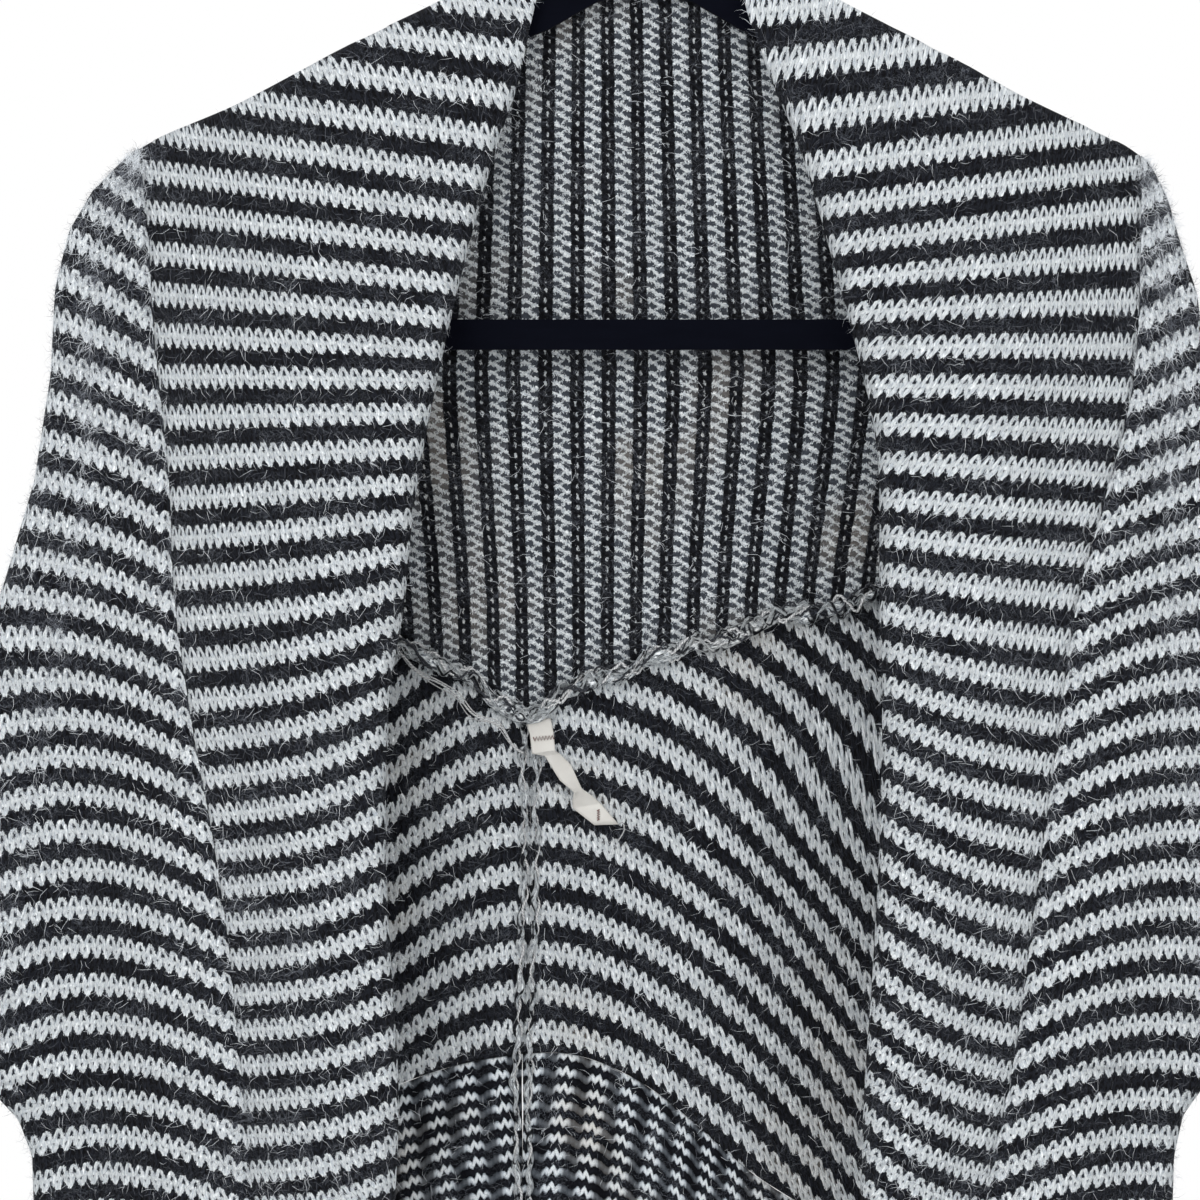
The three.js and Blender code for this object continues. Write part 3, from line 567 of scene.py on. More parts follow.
def stocking_stitch(name, brown_shade=0.0):
    """The smooth side of the knitting: each stitch two legs that meet at its top."""
    finish = Finish(name, sheen=0.02)
    u, v = finish.uv()
    u = u + (finish.noise(0.55, 2, uv=(u, v)) - 0.5) * 0.42
    v = v + (finish.noise(0.9, 2, stretch=(1.0, 0.6, 1.0), uv=(u, v)) - 0.5) * 0.5
    fuzz = finish.noise(5.5, 2, stretch=(1.6, 1.0, 1.0), uv=(u, v)) - 0.5
    fray = finish.noise(6, 3, stretch=(2.0, 0.5, 1.0), distortion=0.5, uv=(u, v)) - 0.5
    x = (((u + fuzz * 0.2 + fray * 0.3).part() - 0.5).size())
    down = v + fuzz * 0.3 + fray * 0.7
    row, b = down.whole(), down.part()
    overlap = 0.38
    heights = []
    for shift in (0.0, 1.0):
        along = (b - shift + overlap) / (1 + overlap)
        spread = along.most(0.001).math("POWER", 0.62)
        d = (x - (spread * 0.35 + 0.055)) / (spread * 0.04 + 0.17)
        h = -(d * d) + 1
        heights.append(h - (-along).most(0.0) * 30 + 0.3 * shift)
    take_next = heights[1].above(heights[0])
    height = heights[0].most(heights[1]).most(-0.6)
    white = ((row + take_next + 0.01) / 4).part().less(0.5)
    strands = finish.noise(3.6, 3, stretch=(2.2, 0.4, 1.0), distortion=0.5, uv=(u - v * 0.2, v))
    streaks = finish.noise(8, 2, stretch=(2.0, 0.3, 1.0), distortion=0.6, uv=(u, v))
    fibre = (strands * 0.55 + streaks * 0.45).step(0.36, 0.6)
    hair = hairs(finish)
    # Less painted shade in the gaps of the second white row of each stripe.
    second_row = white * ((row + take_next + 0.01) / 4).part().above(0.25)
    painted_shade_height = height + second_row * 0.38
    colour = yarn_colours(finish, white, painted_shade_height, fibre, hair, brown_shade)
    return finish.done(colour, height * 0.7 + fibre * 0.75 + hair * 0.2, 1.5)


def purl_side(name):
    """The inside of the yoke: in each upright stripe, slanting strokes stacked on each other."""
    finish = Finish(name, sheen=0.02)
    u, v = finish.uv()
    v = v + (finish.noise(0.5, 2, uv=(u, v)) - 0.5) * 0.6
    u = u + (finish.noise(0.8, 2, uv=(v, u)) - 0.5) * 0.5
    fray = finish.noise(3.2, 3, stretch=(0.7, 1.6, 1.0), distortion=0.6, uv=(v, u)) - 0.5
    fuzz = finish.noise(4.5, 2, uv=(u, v)) - 0.5
    stripe = (v / 4 + fray * 0.10 + fuzz * 0.06).part()
    white = stripe.less(0.56)
    middle = white * 0.28 + (-white + 1) * 0.78
    across = (stripe - middle) / (white * 0.06 + 0.22)
    bow = (across * 2.4).sine()
    long_stroke = ((u - across * 0.20 - bow * 0.16 + fuzz * 0.9 + fray * 0.5).part() - 0.5) / 0.25
    short_stroke = ((u + across * 0.5 + 0.46 + fuzz * 0.9).part() - 0.5) / 0.15
    first = -(long_stroke * long_stroke) + 1
    second = (-(short_stroke * short_stroke) + 0.7) - (across - 0.1).step(0.1, 0.7) * 0.9
    height = first.most(second).most(-0.4) - (across.size() + fuzz * 0.7).step(0.75, 1.2) * 0.9
    tick_x = (across + 0.05 + fuzz * 0.6) / 0.22
    tick_z = ((u + 0.28 + fuzz * 0.3).part() - 0.5) / 0.3
    tick = (-(tick_x * tick_x) - tick_z * tick_z + 1).step(0.0, 0.6) * (-white + 1)
    tick = tick * finish.noise(1.1, 1, uv=(u, v)).step(0.36, 0.5) * 0.85
    strands = finish.noise(3.4, 3, stretch=(0.8, 2.4, 1.0), distortion=0.7, uv=(v, u - bow * 0.2))
    fibre = strands.step(0.34, 0.6)
    hair = hairs(finish)
    # Low parts, the stripe edges among them, get painted shade through yarn_colours.
    colour = yarn_colours(finish, white.most(tick), height.most(tick * 0.9), fibre, hair, 0.22)
    return finish.done(colour, height * 0.9 + fibre * 0.5 + hair * 0.2, 1.7)


def rib(name):
    """Two-by-two rib in single rows of black and white."""
    finish = Finish(name, sheen=0.02)
    u, v = finish.uv()
    u = u + (finish.noise(0.5, 2, uv=(u, v)) - 0.5) * 0.4
    fuzz = finish.noise(6, 2, uv=(u, v)) - 0.5
    ridge = ((u * (math.pi / 2)).sine() * 0.5 + 0.5)
    leg = (u.part() - 0.5).size() * 2
    down = v + leg * 0.7 * ridge - (u * math.pi).sine() * 0.25 * (-ridge + 1) + fuzz * 0.4
    d = (down.part() - 0.5) / 0.55
    height = -(d * d) + 1 - (leg - 0.5).size() * 0.5
    white = (down.whole() / 2 + 0.1).part().less(0.5)
    fibre = finish.noise(8, 3, distortion=0.4, uv=(u, v)).step(0.22, 0.66)
    hair = hairs(finish)
    # Painted shade: the yarn's height is scaled down in the recessed columns between the ribs, which darkens
    # them.
    shade = ridge * 0.6 + 0.15
    pale = white * ridge.step(0.05, 0.5).most(0.35)
    colour = yarn_colours(finish, pale, height * shade, fibre, hair, 0.35)
    return finish.done(colour, height * 0.6 + ridge * 1.6 + fibre * 0.4, 1.5)


def strand(name, light, dark):
    """Plied yarn, with painted shade in the grooves between its plies."""
    finish = Finish(name, sheen=0.15)
    u, v = finish.uv()
    ply = ((u * 3.2 + v) * math.pi).sine().size()
    fibre = finish.noise(900, 2).step(0.3, 0.7)
    return finish.done(finish.blend(dark, light, ply * 0.6 + fibre * 0.4), ply + fibre * 0.4, 0.5)


def raw_edge(name):
    """Loose loops of both colours, pulled along a seam."""
    finish = Finish(name, sheen=0.02)
    u, v = finish.uv()
    patch = finish.noise(0.75, 2, distortion=0.6, uv=(u, v)).step(0.40, 0.50)
    strands = finish.noise(3.2, 3, stretch=(0.6, 3.5, 1.0), distortion=0.9, uv=(u, v))
    fibre = finish.noise(9, 2, stretch=(0.5, 4.0, 1.0), distortion=0.5, uv=(u, v))
    height = (strands * 0.65 + fibre * 0.35).step(0.36, 0.6)
    hair = hairs(finish)
    # Low strands get painted shade through yarn_colours.
    colour = yarn_colours(finish, patch, height * 0.95, height, hair, 0.2)
    return finish.done(colour, height + hair * 0.2, 1.5)


def velvet():
    finish = Finish("velvet flock", roughness=0.9, sheen=0.01, specular=0.03)
    nap = finish.noise(2400, 2)
    streak = finish.noise(260, 3, stretch=(0.25, 1, 1))
    colour = finish.blend((0.0008, 0.001, 0.0025), (0.0028, 0.0034, 0.007), nap * 0.5 + streak * 0.5)
    return finish.done(colour, nap, 0.12)


def hook_metal():
    finish = Finish("polished wire", roughness=0.2, metallic=1.0, specular=0.5)
    scratch = finish.noise(700, 3, stretch=(1, 1, 0.1))
    return finish.done(finish.blend((0.36, 0.37, 0.39), (0.55, 0.56, 0.58), scratch), scratch, 0.02)


def tape_cloth():
    finish = Finish("woven tape", roughness=0.85, sheen=0.1)
    u, v = finish.uv()
    weave = (u * (8 * math.pi)).sine() * (v * (8 * math.pi)).sine()
    shade = finish.noise(140, 3)
    colour = finish.blend((0.66, 0.64, 0.60), (0.86, 0.85, 0.81), weave * 0.25 + shade * 0.8)
    return finish.done(colour, weave * 0.5 + shade, 0.25)


def plain_hair(name, low, high):
    finish = Finish(name, roughness=0.8, sheen=0.1)
    return finish.done(finish.blend(low, high, finish.noise(120, 2)))


KNIT = stocking_stitch("striped stocking stitch")
# The lower back's white yarn gets brownish painted shade.
INSIDE = stocking_stitch("striped stocking stitch, lower back", brown_shade=0.25)
PURL = purl_side("striped purl side")
RIB = rib("striped rib")
MOTTLED = raw_edge("raw edge of the knitting")
PALE_YARN = strand("pale seam yarn", (0.66, 0.67, 0.67), (0.20, 0.21, 0.23))
DARK_YARN = strand("dark seam yarn", (0.045, 0.05, 0.06), (0.008, 0.009, 0.013))
TAPE_CLOTH = tape_cloth()
RED_THREAD = strand("dark red thread", (0.22, 0.035, 0.03), (0.09, 0.012, 0.012))
FUZZ = {
    "white": plain_hair("white hairs", (0.45, 0.48, 0.52), (0.80, 0.84, 0.88)),
    "dark": plain_hair("dark hairs", (0.03, 0.034, 0.042), (0.22, 0.235, 0.27)),
}


def declare(piece, slot, *nodes):
    """What a piece rides on, and the nodes that it stands for; `slot` is not used."""
    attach(piece, "root")
    if nodes:
        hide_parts(*nodes)


# ---- the fronts
LAP_DROPS = (8, 6.5, 5, 3.6, 2.4, 1.4, 0.6, 0.15)  # rows behind the shoulder's fold, as distances from it
SHOULDER_DROPS = (0, 0.15, 0.6, 1.4, 2.4, 3.6, 5, 6.5, 8.5, 11)  # rows in front of it
LAP_ROW = 11.25  # how a distance behind the fold counts as height of a stripe
BELOW_SHOULDER = 12  # the first row that loose hairs grow on


def front_line(side, layer, height_at, outer, down):
    """One row of points on a front, from the sleeve seam to the end of the roll.

    `height_at` gives the row's height at x, and `down` is its distance below the shoulder's fold.
    """
    hand = SIDES[side]
    probe = np.array([hand * 60.0])
    turned = float(ease((down - ROLL_START) / (ROLL_FULL - ROLL_START))) if layer < 0 else 0.0
    angle = max(ROLL_ANGLE * turned, 0.02)
    radius = ROLL_WIDTH / angle
    reach = radius if angle > math.pi / 2 else radius * math.sin(angle)
    edge = read(FRONT_EDGE[side], "z", np.maximum(height_at(probe), FRONT_HEM), "x")
    edge = read(FRONT_EDGE[side], "z", np.maximum(height_at(edge), FRONT_HEM), "x")[0]
    start = edge + hand * reach
    x = mix(outer, start, shares(FRONT_WIDTH))
    flat = on_form(layer, x, height_at(x))
    turn = angle * shares(ROLL_WIDTH, ROLL_STEP)[1:]
    roll_x = start - hand * radius * np.sin(turn)
    roll_z = height_at(roll_x)
    form_y = layer * stand_off(layer, roll_x, roll_z)
    roll_y = mix(form_y, flat[-1, 1], turned) + radius * (1 - np.cos(turn)) * turned
    return np.concatenate([flat, np.stack([roll_x, roll_y, roll_z], -1)])


def front_grid(lines, row_numbers):
    """Points, uv and outward direction of rows that run from the sleeve seam to the front edge."""
    points = np.array(lines)
    run = run_along(points, 0)
    across = run / run[:, -1:]
    stitches = np.diff(run, axis=1) / wales((across[:, 1:] + across[:, :-1]) / 2)
    uv = np.zeros(points.shape[:2] + (2,))
    uv[:, 1:, 0] = np.cumsum(stitches, axis=1)
    uv[..., 1] = np.array(row_numbers)
    return points, uv, outward_of(points, points.shape[1])


def whole_front(side):
    """A front, from behind the shoulder down to the hem band."""
    stations = [(1, drop, 0.0) for drop in LAP_DROPS] + [(-1, drop, 0.0) for drop in SHOULDER_DROPS]
    stations += [(-1, SHOULDER_DROPS[-1], share) for share in shares(FRONT_LENGTH)]
    lines, numbers = [], []
    for layer, drop, share in stations:
        def height_at(x, drop=drop, share=share):
            return mix(crest(side, x) - drop / SLANT, FRONT_HEM, share)

        probe = np.array([SIDES[side] * 60.0])
        down = float(crest(side, probe)[0] - height_at(probe)[0])
        outer = np.array([seam_x(side, -180.0)])
        for _ in range(5):
            outer = seam_x(side, height_at(outer))
        line = front_line(side, layer, height_at, outer[0], down)
        number = front_rows(side, line[:, 0], line[:, 2])
        lines.append(line)
        numbers.append(number - ROWS_PER_STRIPE * drop / LAP_ROW if layer > 0 else number)
    return front_grid(lines, numbers)


def band_front(side):
    """The front part of a hem band."""
    outer = seam_x(side, FRONT_HEM)
    lines, numbers = [], []
    for share in shares(BAND_HEIGHT):
        def height_at(x, share=share):
            return mix(FRONT_HEM - SEAM_GAP + 0 * x, FRONT_HEM - BAND_HEIGHT, share)

        line = front_line(side, -1, height_at, outer, math.inf)
        lines.append(line)
        numbers.append(0 * line[:, 0])
    return front_grid(lines, numbers)


# ---- sleeves
ACROSS = 0.5 * (1 - np.cos(np.linspace(0, math.pi, 46)))  # shares, closer together at both folds


def both_layers(front_xz, back_xz):
    """A grid that runs over a fold: the front's columns, then the back's in reverse."""
    front, back = on_form(-1, *front_xz), on_form(1, *back_xz)
    return np.concatenate([front, back[:, ::-1][:, 1:]], 1)


def back_seam_foot(side):
    """Height at which the sleeve seam meets the hem of the back."""
    z = FRONT_HEM
    for _ in range(6):
        z = float(read(BACK_HEM, "x", seam_x(side, z), "z"))
    return z


def sleeve_grids(side):
    """The sleeve above the underarm, the side of the body below it, and the arm: points, uv, outward."""
    hand = SIDES[side]
    peak_x = float(seam_x(side, -174.0)) + hand * 0.4
    fold = joined(rows("x z", (peak_x, float(crest(side, peak_x)))), OUTER_FOLD[side])
    arm_x, arm_z = UNDER_SLEEVE[side]["x"][0], UNDER_SLEEVE[side]["z"][0]
    first_z = float(crest(side, peak_x)) - 7
    split_z = arm_z + 6
    end_x, end_z = point_along(fold, FOLD_AT_UNDERARM)
    split_x = float(seam_x(side, split_z))
    part = (arm_x - split_x) / (end_x - split_x)
    s = np.concatenate([ACROSS * part, mix(part, 1, ACROSS[1:])])
    t = shares(400)[:, None]
    seam_z = mix(first_z, split_z, t)
    fold_x, fold_z = point_along(fold, FOLD_AT_UNDERARM * t)
    settle = ease((t - 0.8) / 0.2)
    x = mix(seam_x(side, seam_z) + hand * 0.3, fold_x, s)
    z = mix(seam_z, fold_z, s)
    last_z = np.interp(s, [0, part, 1], [split_z, arm_z, end_z])
    z = z + settle * (last_z - mix(split_z, end_z, s))
    upper = both_layers((x, z), (x, z))

    t = shares(100)[:, None]
    side_x, side_z = point_along({k: v[:4] for k, v in BODY_SIDE[side].items()}, t)

    def body_part(hem_z):
        z0 = mix(split_z, hem_z, t)
        return mix(seam_x(side, z0) + hand * 0.3, side_x, ACROSS), mix(z0, side_z, ACROSS)

    lower = both_layers(body_part(FRONT_HEM), body_part(back_seam_foot(side)))

    under_x, under_z = point_along(UNDER_SLEEVE[side], t)
    fold_x, fold_z = point_along(fold, mix(FOLD_AT_UNDERARM, 1, t))
    x, z = mix(under_x, fold_x, ACROSS), mix(under_z, fold_z, ACROSS)
    arm = both_layers((x, z), (x, z))
    result = []
    for points in (upper, lower, arm):
        uv = np.empty(points.shape[:2] + (2,))
        uv[..., 0] = run_along(points, 0) / SLEEVE_WALE
        if points is arm:
            uv[..., 0] += (split_x - arm_x) * hand / -SLEEVE_WALE
        uv[..., 1] = sleeve_rows(side, points[..., 0], points[..., 2])
        result.append((points, uv, outward_of(points, points.shape[1] // 2 + 1)))
    return result


# ---- the back
def yoke_top(x):
    """Upper edge of the yoke: under the fronts' laps, and free at the neck between them."""
    drop = SHOULDER_LAP / SLANT + LAP_GAP
    neck = read(NECK_BACK, "x", x, "z")
    left, right = crest("left", x) - drop, crest("right", x) - drop
    return np.where(x <= NECK_BACK["x"][0], left, np.where(x >= NECK_BACK["x"][-1], right, neck))


def yoke_hem(x):
    return read(YOKE_HEM, "x", x, "z")


def back_hem(x):
    return read(BACK_HEM, "x", x, "z")


def back_points(low_at, top_at, left_at, right_at, width, height):
    """Points of a piece of the back, between four edges."""
    s, t = shares(width)[None], shares(height)[:, None]
    x = mix(left_at(-300.0), right_at(-300.0), s) + 0 * t
    for _ in range(8):
        z = mix(top_at(x), low_at(x), t)
        x = mix(left_at(z), right_at(z), s)
    return on_form(1, x, z)


def yoke_grid():
    points = back_points(
        yoke_hem, yoke_top, lambda z: seam_x("left", z) + SEAM_GAP, lambda z: seam_x("right", z) - SEAM_GAP,
        BACK_WIDTH, YOKE_HEIGHT)
    uv = np.stack([-points[..., 2] / YOKE_WALE, yoke_rows(points[..., 0], points[..., 2])], -1)
    return points, uv, outward_of(points, 0)


def lower_back_grid(side, width):
    """One of the two pieces below the yoke, which meet at the centre."""
    hand = SIDES[side]
    edges = [lambda z: seam_x(side, z) - hand * SEAM_GAP, lambda z: centre_x(z) + hand * SEAM_GAP / 10]
    points = back_points(
        back_hem, lambda x: yoke_hem(x) - SEAM_GAP, *edges[::-hand], width, LOWER_BACK_HEIGHT)
    x, z = points[..., 0], points[..., 2]
    return points, np.stack([(x - centre_x(z)) / WALE, lower_back_rows(x, z)], -1), outward_of(points, 0)


# ---- ribbed bands
RIB_HEIGHT = 0.5  # how far the rib stands up


def hem_band(side):
    """A hem band from the front edge round the side to the centre of the back: points, uv, outward."""
    hand = SIDES[side]
    front = band_front(side)[0]
    t = (FRONT_HEM - front[:, 0, 2])[:, None]
    corner_x, corner_z = BODY_SIDE[side]["x"][3], BODY_SIDE[side]["z"][3]
    drift = (BODY_SIDE[side]["x"][4] - corner_x) * t / BAND_HEIGHT
    seam = float(seam_x(side, FRONT_HEM))
    back_z = back_seam_foot(side)
    seam_back = float(seam_x(side, back_z))
    s = ACROSS[None, 1:]
    round_front = on_form(-1, mix(seam, corner_x, s) + drift * s, mix(FRONT_HEM, corner_z, s) - t)
    s = ACROSS[None, ::-1][:, 1:]
    round_back = on_form(1, mix(seam_back, corner_x, s) + drift * s, mix(back_z, corner_z, s) - t)
    centre = centre_x(-600.0) + hand * SEAM_GAP
    x = mix(seam_back, centre, shares(abs(seam_back + 53)))[None, 1:] + 0 * t
    back = on_form(1, x, back_hem(x) - t)
    points = np.concatenate([front[:, ::-1], round_front, round_back, back], 1)
    outward = outward_of(points, front.shape[1] + len(ACROSS) - 1)
    run = run_along(points, 0)
    uv = np.stack([run / RIB_STITCH, np.broadcast_to(t / RIB_ROW, run.shape)], -1)
    points[..., 1] += np.sin(uv[..., 0] * math.pi / 2) * RIB_HEIGHT * outward[..., 1]
    return points, uv, outward


def cuff_grid(side):
    """A cuff, all round: points, uv, outward."""
    hand = SIDES[side]
    inner = np.array([UNDER_SLEEVE[side]["x"][-1], UNDER_SLEEVE[side]["z"][-1]])
    outer = np.array([OUTER_FOLD[side]["x"][-1], OUTER_FOLD[side]["z"][-1]])
    across = outer - inner
    down = np.array([hand * across[1], -hand * across[0]]) / np.hypot(*across)
    s = ACROSS[None]
    t = shares(CUFF_HEIGHT)[:, None]
    x, z = mix(inner[0], outer[0], s), mix(inner[1], outer[1], s)
    narrow = (s - 0.5) * (CUFF_TAPER - 1) * t
    lower_x = x + narrow * across[0] + down[0] * (CUFF_HEIGHT * t + SEAM_GAP)
    lower_z = z + narrow * across[1] + down[1] * (CUFF_HEIGHT * t + SEAM_GAP)
    front, back = (np.stack([lower_x, layer * stand_off(layer, x, z) + 0 * lower_x, lower_z], -1)
                   for layer in (-1, 1))
    points = np.concatenate([front, back[:, ::-1][:, 1:]], 1)
    outward = outward_of(points, len(ACROSS))
    run = run_along(points, 0)
    uv = np.stack([run / RIB_STITCH, np.broadcast_to(CUFF_HEIGHT * t / RIB_ROW, run.shape)], -1)
    at_ends = ease(run / 12) * ease((run[:, -1:] - run) / 12)
    points[..., 1] += np.sin(uv[..., 0] * math.pi / 2) * RIB_HEIGHT * outward[..., 1] * at_ends
    return points, uv, outward


# ---- seams, loose yarn and tape
def inside_back(x, z, off=3.0):
    """Points before the back's inner face."""
    x, z = np.asarray(x, float), np.asarray(z, float)
    return np.stack([x, stand_off(1, x, z) - WALL / 2 - off, z], -1)


def knitted(node, grids, materials, hairs_on, slot="striped_knit"):
    """Makes the cloth that stands for a node; returns the grids that its loose hairs grow on."""
    piece, area = cloth(f"{node}_cloth", grids, materials, inner_slot=len(materials) - 1)
    declare(piece, slot, node)
    skip = BELOW_SHOULDER if hairs_on == "front" else 0
    return [(points[skip:], uv[skip:], hairs_on) for points, uv, _ in grids]


def knit_all():
    """Every knitted piece, and the grids for their hairs."""
    beds = []
    for side in SIDES:
        beds += knitted(f"front_{side}", [whole_front(side)], [KNIT], "front")
    for side in SIDES:
        beds += knitted(f"sleeve_{side}", sleeve_grids(side), [KNIT], "outside")
    beds += knitted("back_yoke", [yoke_grid()], [KNIT, PURL], "back")
    for side, width, flat in (("left", 140, 160), ("right", 230, 250)):
        beds += knitted(f"back_lower_{side}", [lower_back_grid(side, width)], [INSIDE], "back")
    for side, length in (("left", 380), ("right", 450)):
        beds += knitted(f"hem_band_{side}", [hem_band(side)], [RIB], "back", "striped_rib")
    for side in SIDES:
        beds += knitted(f"cuff_{side}", [cuff_grid(side)], [RIB], "outside", "striped_rib")
    return beds


def smoothed_noise(length, window):
    return np.convolve(rng.normal(size=length + window - 1), [1 / window] * window, "valid")


def make_yoke_edge():
    """The yoke's raw lower edge: a lumpy roll wrapped in loose yarns."""
    x = np.arange(-200, 188, 0.8)
    wave = np.sin(x / 7.3) * 1.5 + np.sin(x / 3.1 + 1) * 0.7
    curl = inside_back(x, yoke_hem(x) + wave - 1, 2.6)
    radius = 3.3 + 0.5 * np.sin(x / 5.2) + 0.8 * smoothed_noise(len(x), 7)
    declare(tube("yoke_curled_edge", curl, radius, MOTTLED, 14), "striped_knit")
    for k in range(9):
        swing = 2.7 * np.sin(x / (1.5 + 0.35 * k) + 2 * k)
        height = yoke_hem(x) + wave + swing + 3.0 * smoothed_noise(len(x), 9)
        line = inside_back(x, height, 5.2 + 1.3 * np.cos(x / (2.9 + 0.4 * k) + k))
        part = slice(int(len(x) * rng.uniform(0, 0.2)), int(len(x) * rng.uniform(0.75, 1)))
        radius = rng.uniform(0.3, 0.75)
        yarn = (MOTTLED, MOTTLED, DARK_YARN, PALE_YARN)[k % 4]
        declare(tube(f"yoke_edge_yarn_{k}", line[part], radius, yarn, 6), "striped_knit")


def make_centre_seam():
    """Two wandering lines of yarn down the centre of the back, each with a thinner one over it."""
    z = np.arange(-416, -629, -1.0)
    strands = ((-2.9, 1.15, MOTTLED), (2.7, 1.05, MOTTLED), (-2.2, 0.42, PALE_YARN), (3.2, 0.38, PALE_YARN))
    for k, (away, radius, yarn) in enumerate(strands):
        sway = 0.5 * np.sin(z / 11 + k) + 0.7 * np.sin(z / 1.9 + k * 2) + 0.5 * np.sin(z / 5.3 + 3 * k)
        line = inside_back(centre_x(z) + away + sway, z, 1.0 + 0.9 * np.sin(z / 4.1 + k * 1.7))
        thick = radius * (1 + 0.35 * np.sin(z / 3.3 + k))
        declare(tube(f"centre_seam_yarn_{k}", line, thick, yarn), "striped_knit")


def make_yarn_tail():
    """Three fine strands that hang from the left end of the yoke's edge to the tape."""
    stops = ((-108, -387, 5.5), (-97, -398, 6.5), (-83, -405.5, 7.5), (-75, -415, 8.5), (-64, -419.5, 8.5),
             (-57, -429, 6.5), (-52.5, -432.5, 4.5))
    tail = through(*[tuple(inside_back(x, z, off)) for x, z, off in stops])
    bow = np.sin(np.linspace(0, math.pi, len(tail)))
    for k, (radius, spread) in enumerate(((0.4, 0.0), (0.28, 1.1), (0.22, -1.2))):
        line = tail.copy()
        line[:, 2] += bow * spread + 0.35 * np.sin(np.arange(len(tail)) / 1.9 + k)
        line[:, 0] += bow * spread * 0.6
        declare(tube(f"loose_yarn_tail_{k}", line, radius, PALE_YARN, 6), "striped_knit")


# Edges of the tape from its sewn end: three flat lengths with a twist between the last two.
TAPE = rows(
    "left_x left_z right_x right_z off",
    (-51.9, -418, -40.8, -417, 2.2), (-49.9, -424.2, -39.6, -423.3, 3.4), (-49, -432.4, -38.9, -431, 4.4),
    (-43.4, -433.4, -36.6, -432.6, 4.8), (-36.9, -444, -32, -437.2, 4.6),
    (-30.6, -449.4, -27.2, -447.8, 4.4), (-31.4, -453, -22.6, -450.9, 3.8),
    (-31.2, -456.2, -19.1, -454.1, 3.2), (-21.8, -463.6, -11.2, -463.3, 2.4),
)
TAPE_WIDTH, TAPE_LENGTH, TAPE_WALL = 10.8, 70.0, 0.8


def tape_grid():
    """Points, uv and outward direction of the tape."""
    at = np.linspace(0, 8, 33)
    way = np.linspace(0, 1, 9)[None]
    edge = {k: np.interp(at, range(9), TAPE[k])[:, None] for k in TAPE}
    x, z = mix(edge["left_x"], edge["right_x"], way), mix(edge["left_z"], edge["right_z"], way)
    points = inside_back(x, z, 0)
    points[..., 1] -= edge["off"] + 0.25 * np.sin(at[:, None] * 1.7 + way * 3)
    uv = np.stack(np.broadcast_arrays(way * 7, at[:, None] * 4), -1)
    return points, uv, outward_of(points, points.shape[1])


def make_tape():
    """The tape, its dark red stitches and a thread at its end."""
    grid = tape_grid()
    points = grid[0]
    piece, area = cloth("label_tape_cloth", [grid], [TAPE_CLOTH], wall=TAPE_WALL)
    declare(piece, "tape", "label_tape")
    zigzag = mix(points[5, 1], points[5, 8], shares(13, 1)[:, None])
    zigzag[:, 1] -= 0.65
    zigzag[:, 2] += 0.95 * (-1.0) ** np.arange(len(zigzag))
    declare(tube("tape_stitching", zigzag, 0.2, RED_THREAD, 6), "tape")
    mark = mix(points[29, 6], points[31, 3], shares(9, 1)[:, None]) + (0, -0.6, 0)
    mark[:, 0] += 0.5 * (-1.0) ** np.arange(len(mark))
    declare(tube("tape_stitch_mark", mark, 0.26, RED_THREAD, 6), "tape")
    bends = ((0, 0, 0), (1.8, -0.6, 0.9), (2.4, -0.8, -2.6), (-0.4, -0.6, -7.4))
    thread = through(*[tuple(points[-1, 8] + bend) for bend in bends])
    declare(tube("tape_thread", thread, 0.28, PALE_YARN, 6), "tape")


# ---- loose hairs
HAIRS = 110000
HAIR_HALF_WIDTH = 0.05
HAIR_LENGTH = (3.5, 9.5)


def hair_strips(points, amount, where):
    """Two-part strips that stand on a grid: their five corners each, and the cells that they grow on."""
    n, m = points.shape[:2]
    i, j = rng.integers(0, n - 1, amount), rng.integers(0, m - 1, amount)
    a, b, c = points[i, j], points[i, j + 1], points[i + 1, j]
    s, t = rng.random((amount, 1)), rng.random((amount, 1))
    base = a + (b - a) * s + (c - a) * t
    normal = np.cross(b - a, c - a)
    size = np.linalg.norm(normal, axis=1, keepdims=True)
    normal = normal / np.maximum(size, 1e-6)
    want = np.where(base[:, 1:2] < 0, -1.0, 1.0)
    if where == "front":
        want = -np.ones_like(want)
    if where == "back":
        want = np.where(rng.random(want.shape) < 0.7, -1.0, 1.0)
    toward = np.sign(normal[:, 1:2]) * want
    normal = normal * np.where(toward == 0, 1, toward)
    tangent = rng.normal(size=base.shape)
    tangent -= normal * (tangent * normal).sum(1, keepdims=True)
    tangent /= np.linalg.norm(tangent, axis=1, keepdims=True)
    side = np.cross(normal, tangent)
    length = rng.uniform(*HAIR_LENGTH, (amount, 1))
    rise = rng.uniform(0.1, 1.0, (amount, 1)) ** 2
    bend = rng.uniform(-0.35, 0.35, (amount, 1))
    root = base + normal * 1.3
    middle = root + tangent * length * 0.5 + normal * length * 0.35 * rise
    tip = root + tangent * length * 0.9 + side * length * bend + normal * length * 0.45 * rise
    half = side * HAIR_HALF_WIDTH
    strips = np.stack([root - half, root + half, middle - half, middle + half, tip], 1)
    good = size[:, 0] > 1e-6
    return strips[good], i[good], j[good]


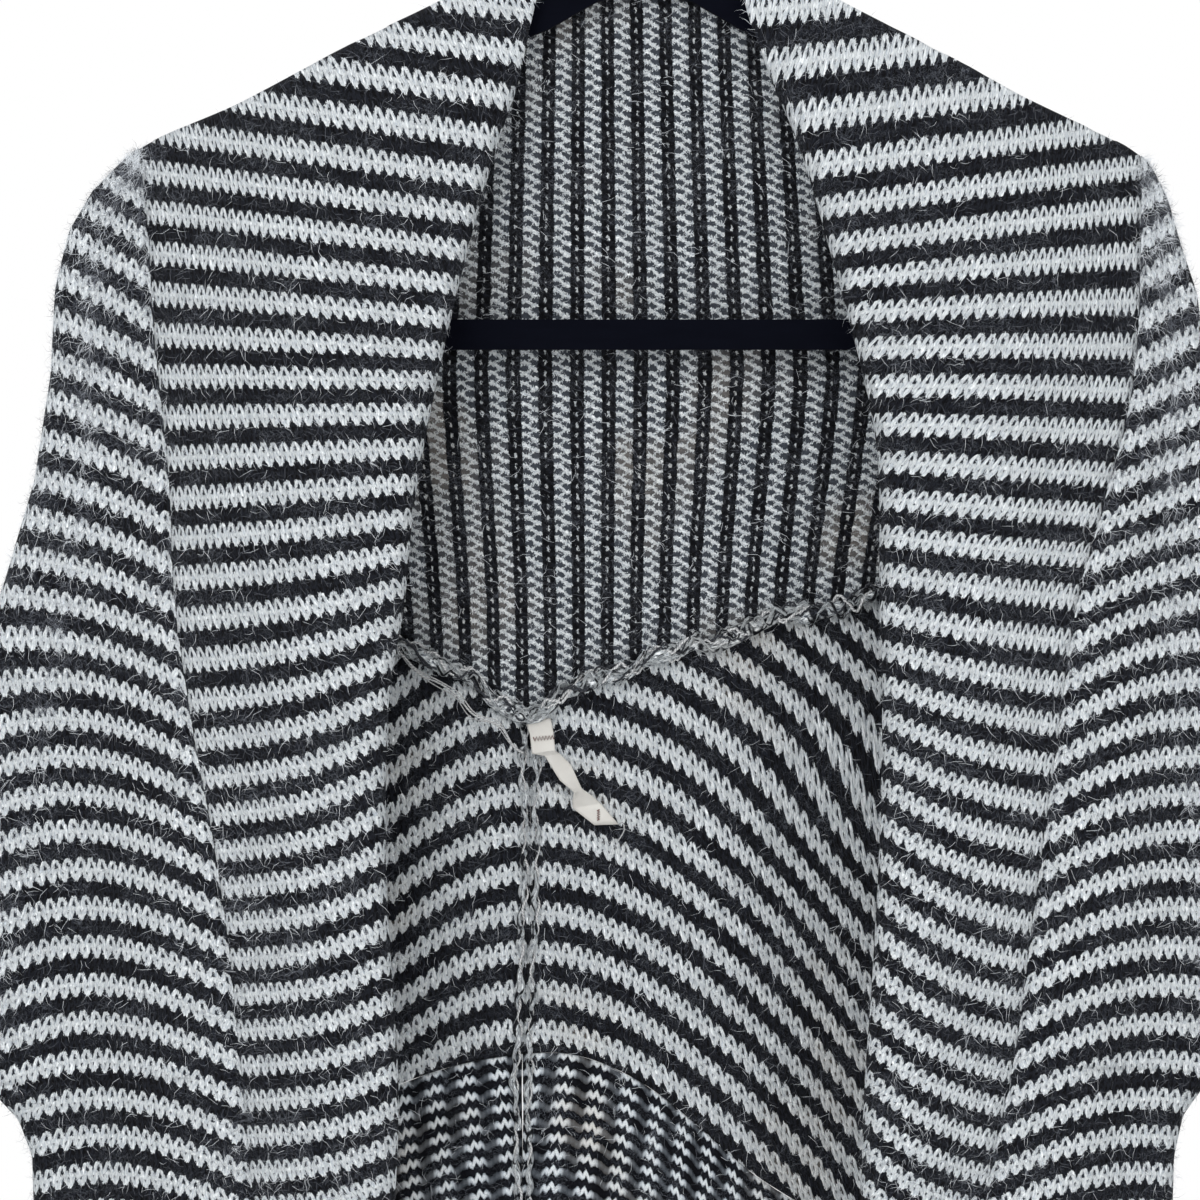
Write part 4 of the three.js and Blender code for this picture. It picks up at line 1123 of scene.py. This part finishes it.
def make_hairs(beds):
    """Fine curved hairs standing off the cloth, in the colour of the row that they grow on."""
    sizes = [float(points.shape[0] * points.shape[1]) for points, _, _ in beds]
    made = {"white": [], "dark": []}
    for (points, uv, where), size in zip(beds, sizes):
        strips, i, j = hair_strips(points, int(HAIRS * size / sum(sizes)), where)
        white = (uv[i, j, 1] / ROWS_PER_STRIPE) % 1 < 0.5
        made["white"].append(strips[white])
        made["dark"].append(strips[~white])
    for key, strips in made.items():
        strips = np.concatenate(strips)
        first = np.arange(len(strips))[:, None] * strips.shape[1]
        faces = [*(first + np.array([[0, 1, 3, 2]])), *(first + np.array([[2, 3, 4]]))]
        mesh = mesh_of(f"hairs_{key}", strips.reshape(-1, 3), faces)
        mesh.materials.append(FUZZ[key])
        declare(object_of(f"hairs_{key}", mesh), "striped_knit")


# ---- hanger
def finish_hanger():
    """Gives the hanger's own solids their materials."""
    for node, material in (("hanger_body", velvet()), ("hanger_hook", hook_metal())):
        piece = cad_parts[node]
        piece.data.materials.clear()
        piece.data.materials.append(material)
    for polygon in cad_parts["hanger_hook"].data.polygons:
        polygon.use_smooth = True


# ---- setting, light and camera
VIEW_WIDTH = 516 * MM
EYE = Vector((-19.35 * MM, -2.5, -365.5 * MM))
FRONT_PLANE = -0.02
FLOOR_HALF, FLOOR_HEIGHT = 3000, -1000


def setting():
    """Pale floor, white surroundings and two soft lights."""
    square = ((-1, -1), (1, -1), (1, 1), (-1, 1))
    corners = [(x * FLOOR_HALF, y * FLOOR_HALF, FLOOR_HEIGHT) for x, y in square]
    floor_mesh = mesh_of("floor", corners, [(0, 1, 2, 3)])
    floor = object_of("floor", floor_mesh)
    paint = Finish("pale floor", roughness=0.8)
    grey = paint.blend((0.86, 0.86, 0.86), (0.9, 0.9, 0.9), paint.noise(3, 2))
    floor_mesh.materials.append(paint.done(grey))
    world = bpy.data.worlds.new("studio")
    bpy.context.scene.world = world
    world.use_nodes = True
    background = world.node_tree.nodes["Background"]
    background.inputs["Color"].default_value = (1, 1, 1, 1)
    background.inputs["Strength"].default_value = 1.0
    lamps = (("key", (-0.9, -1.6, 0.7), 0.9, 22), ("fill", (1.3, -1.5, -0.2), 1.2, 8))
    for name, place, size, power in lamps:
        lamp = bpy.data.lights.new(name, "AREA")
        lamp.size = size
        lamp.energy = power
        light = bpy.data.objects.new(name, lamp)
        light.location = place
        light.rotation_euler = (Vector((0, 0, -0.35)) - light.location).to_track_quat("-Z", "Y").to_euler()
        bpy.context.scene.collection.objects.link(light)


def camera():
    """A camera square to the front, which sees VIEW_WIDTH at FRONT_PLANE."""
    lens = bpy.data.cameras.new("camera")
    lens.sensor_width = 36
    lens.lens = 36 * (FRONT_PLANE - EYE.y) / VIEW_WIDTH
    eye = bpy.data.objects.new("camera", lens)
    eye.location = EYE
    eye.rotation_euler = (math.pi / 2, 0, 0)
    bpy.context.scene.collection.objects.link(eye)
    bpy.context.scene.camera = eye


beds = knit_all()
make_yoke_edge()
make_centre_seam()
make_yarn_tail()
make_tape()
make_hairs(beds)
finish_hanger()
setting()
camera()
bpy.context.scene.view_settings.view_transform = "Standard"
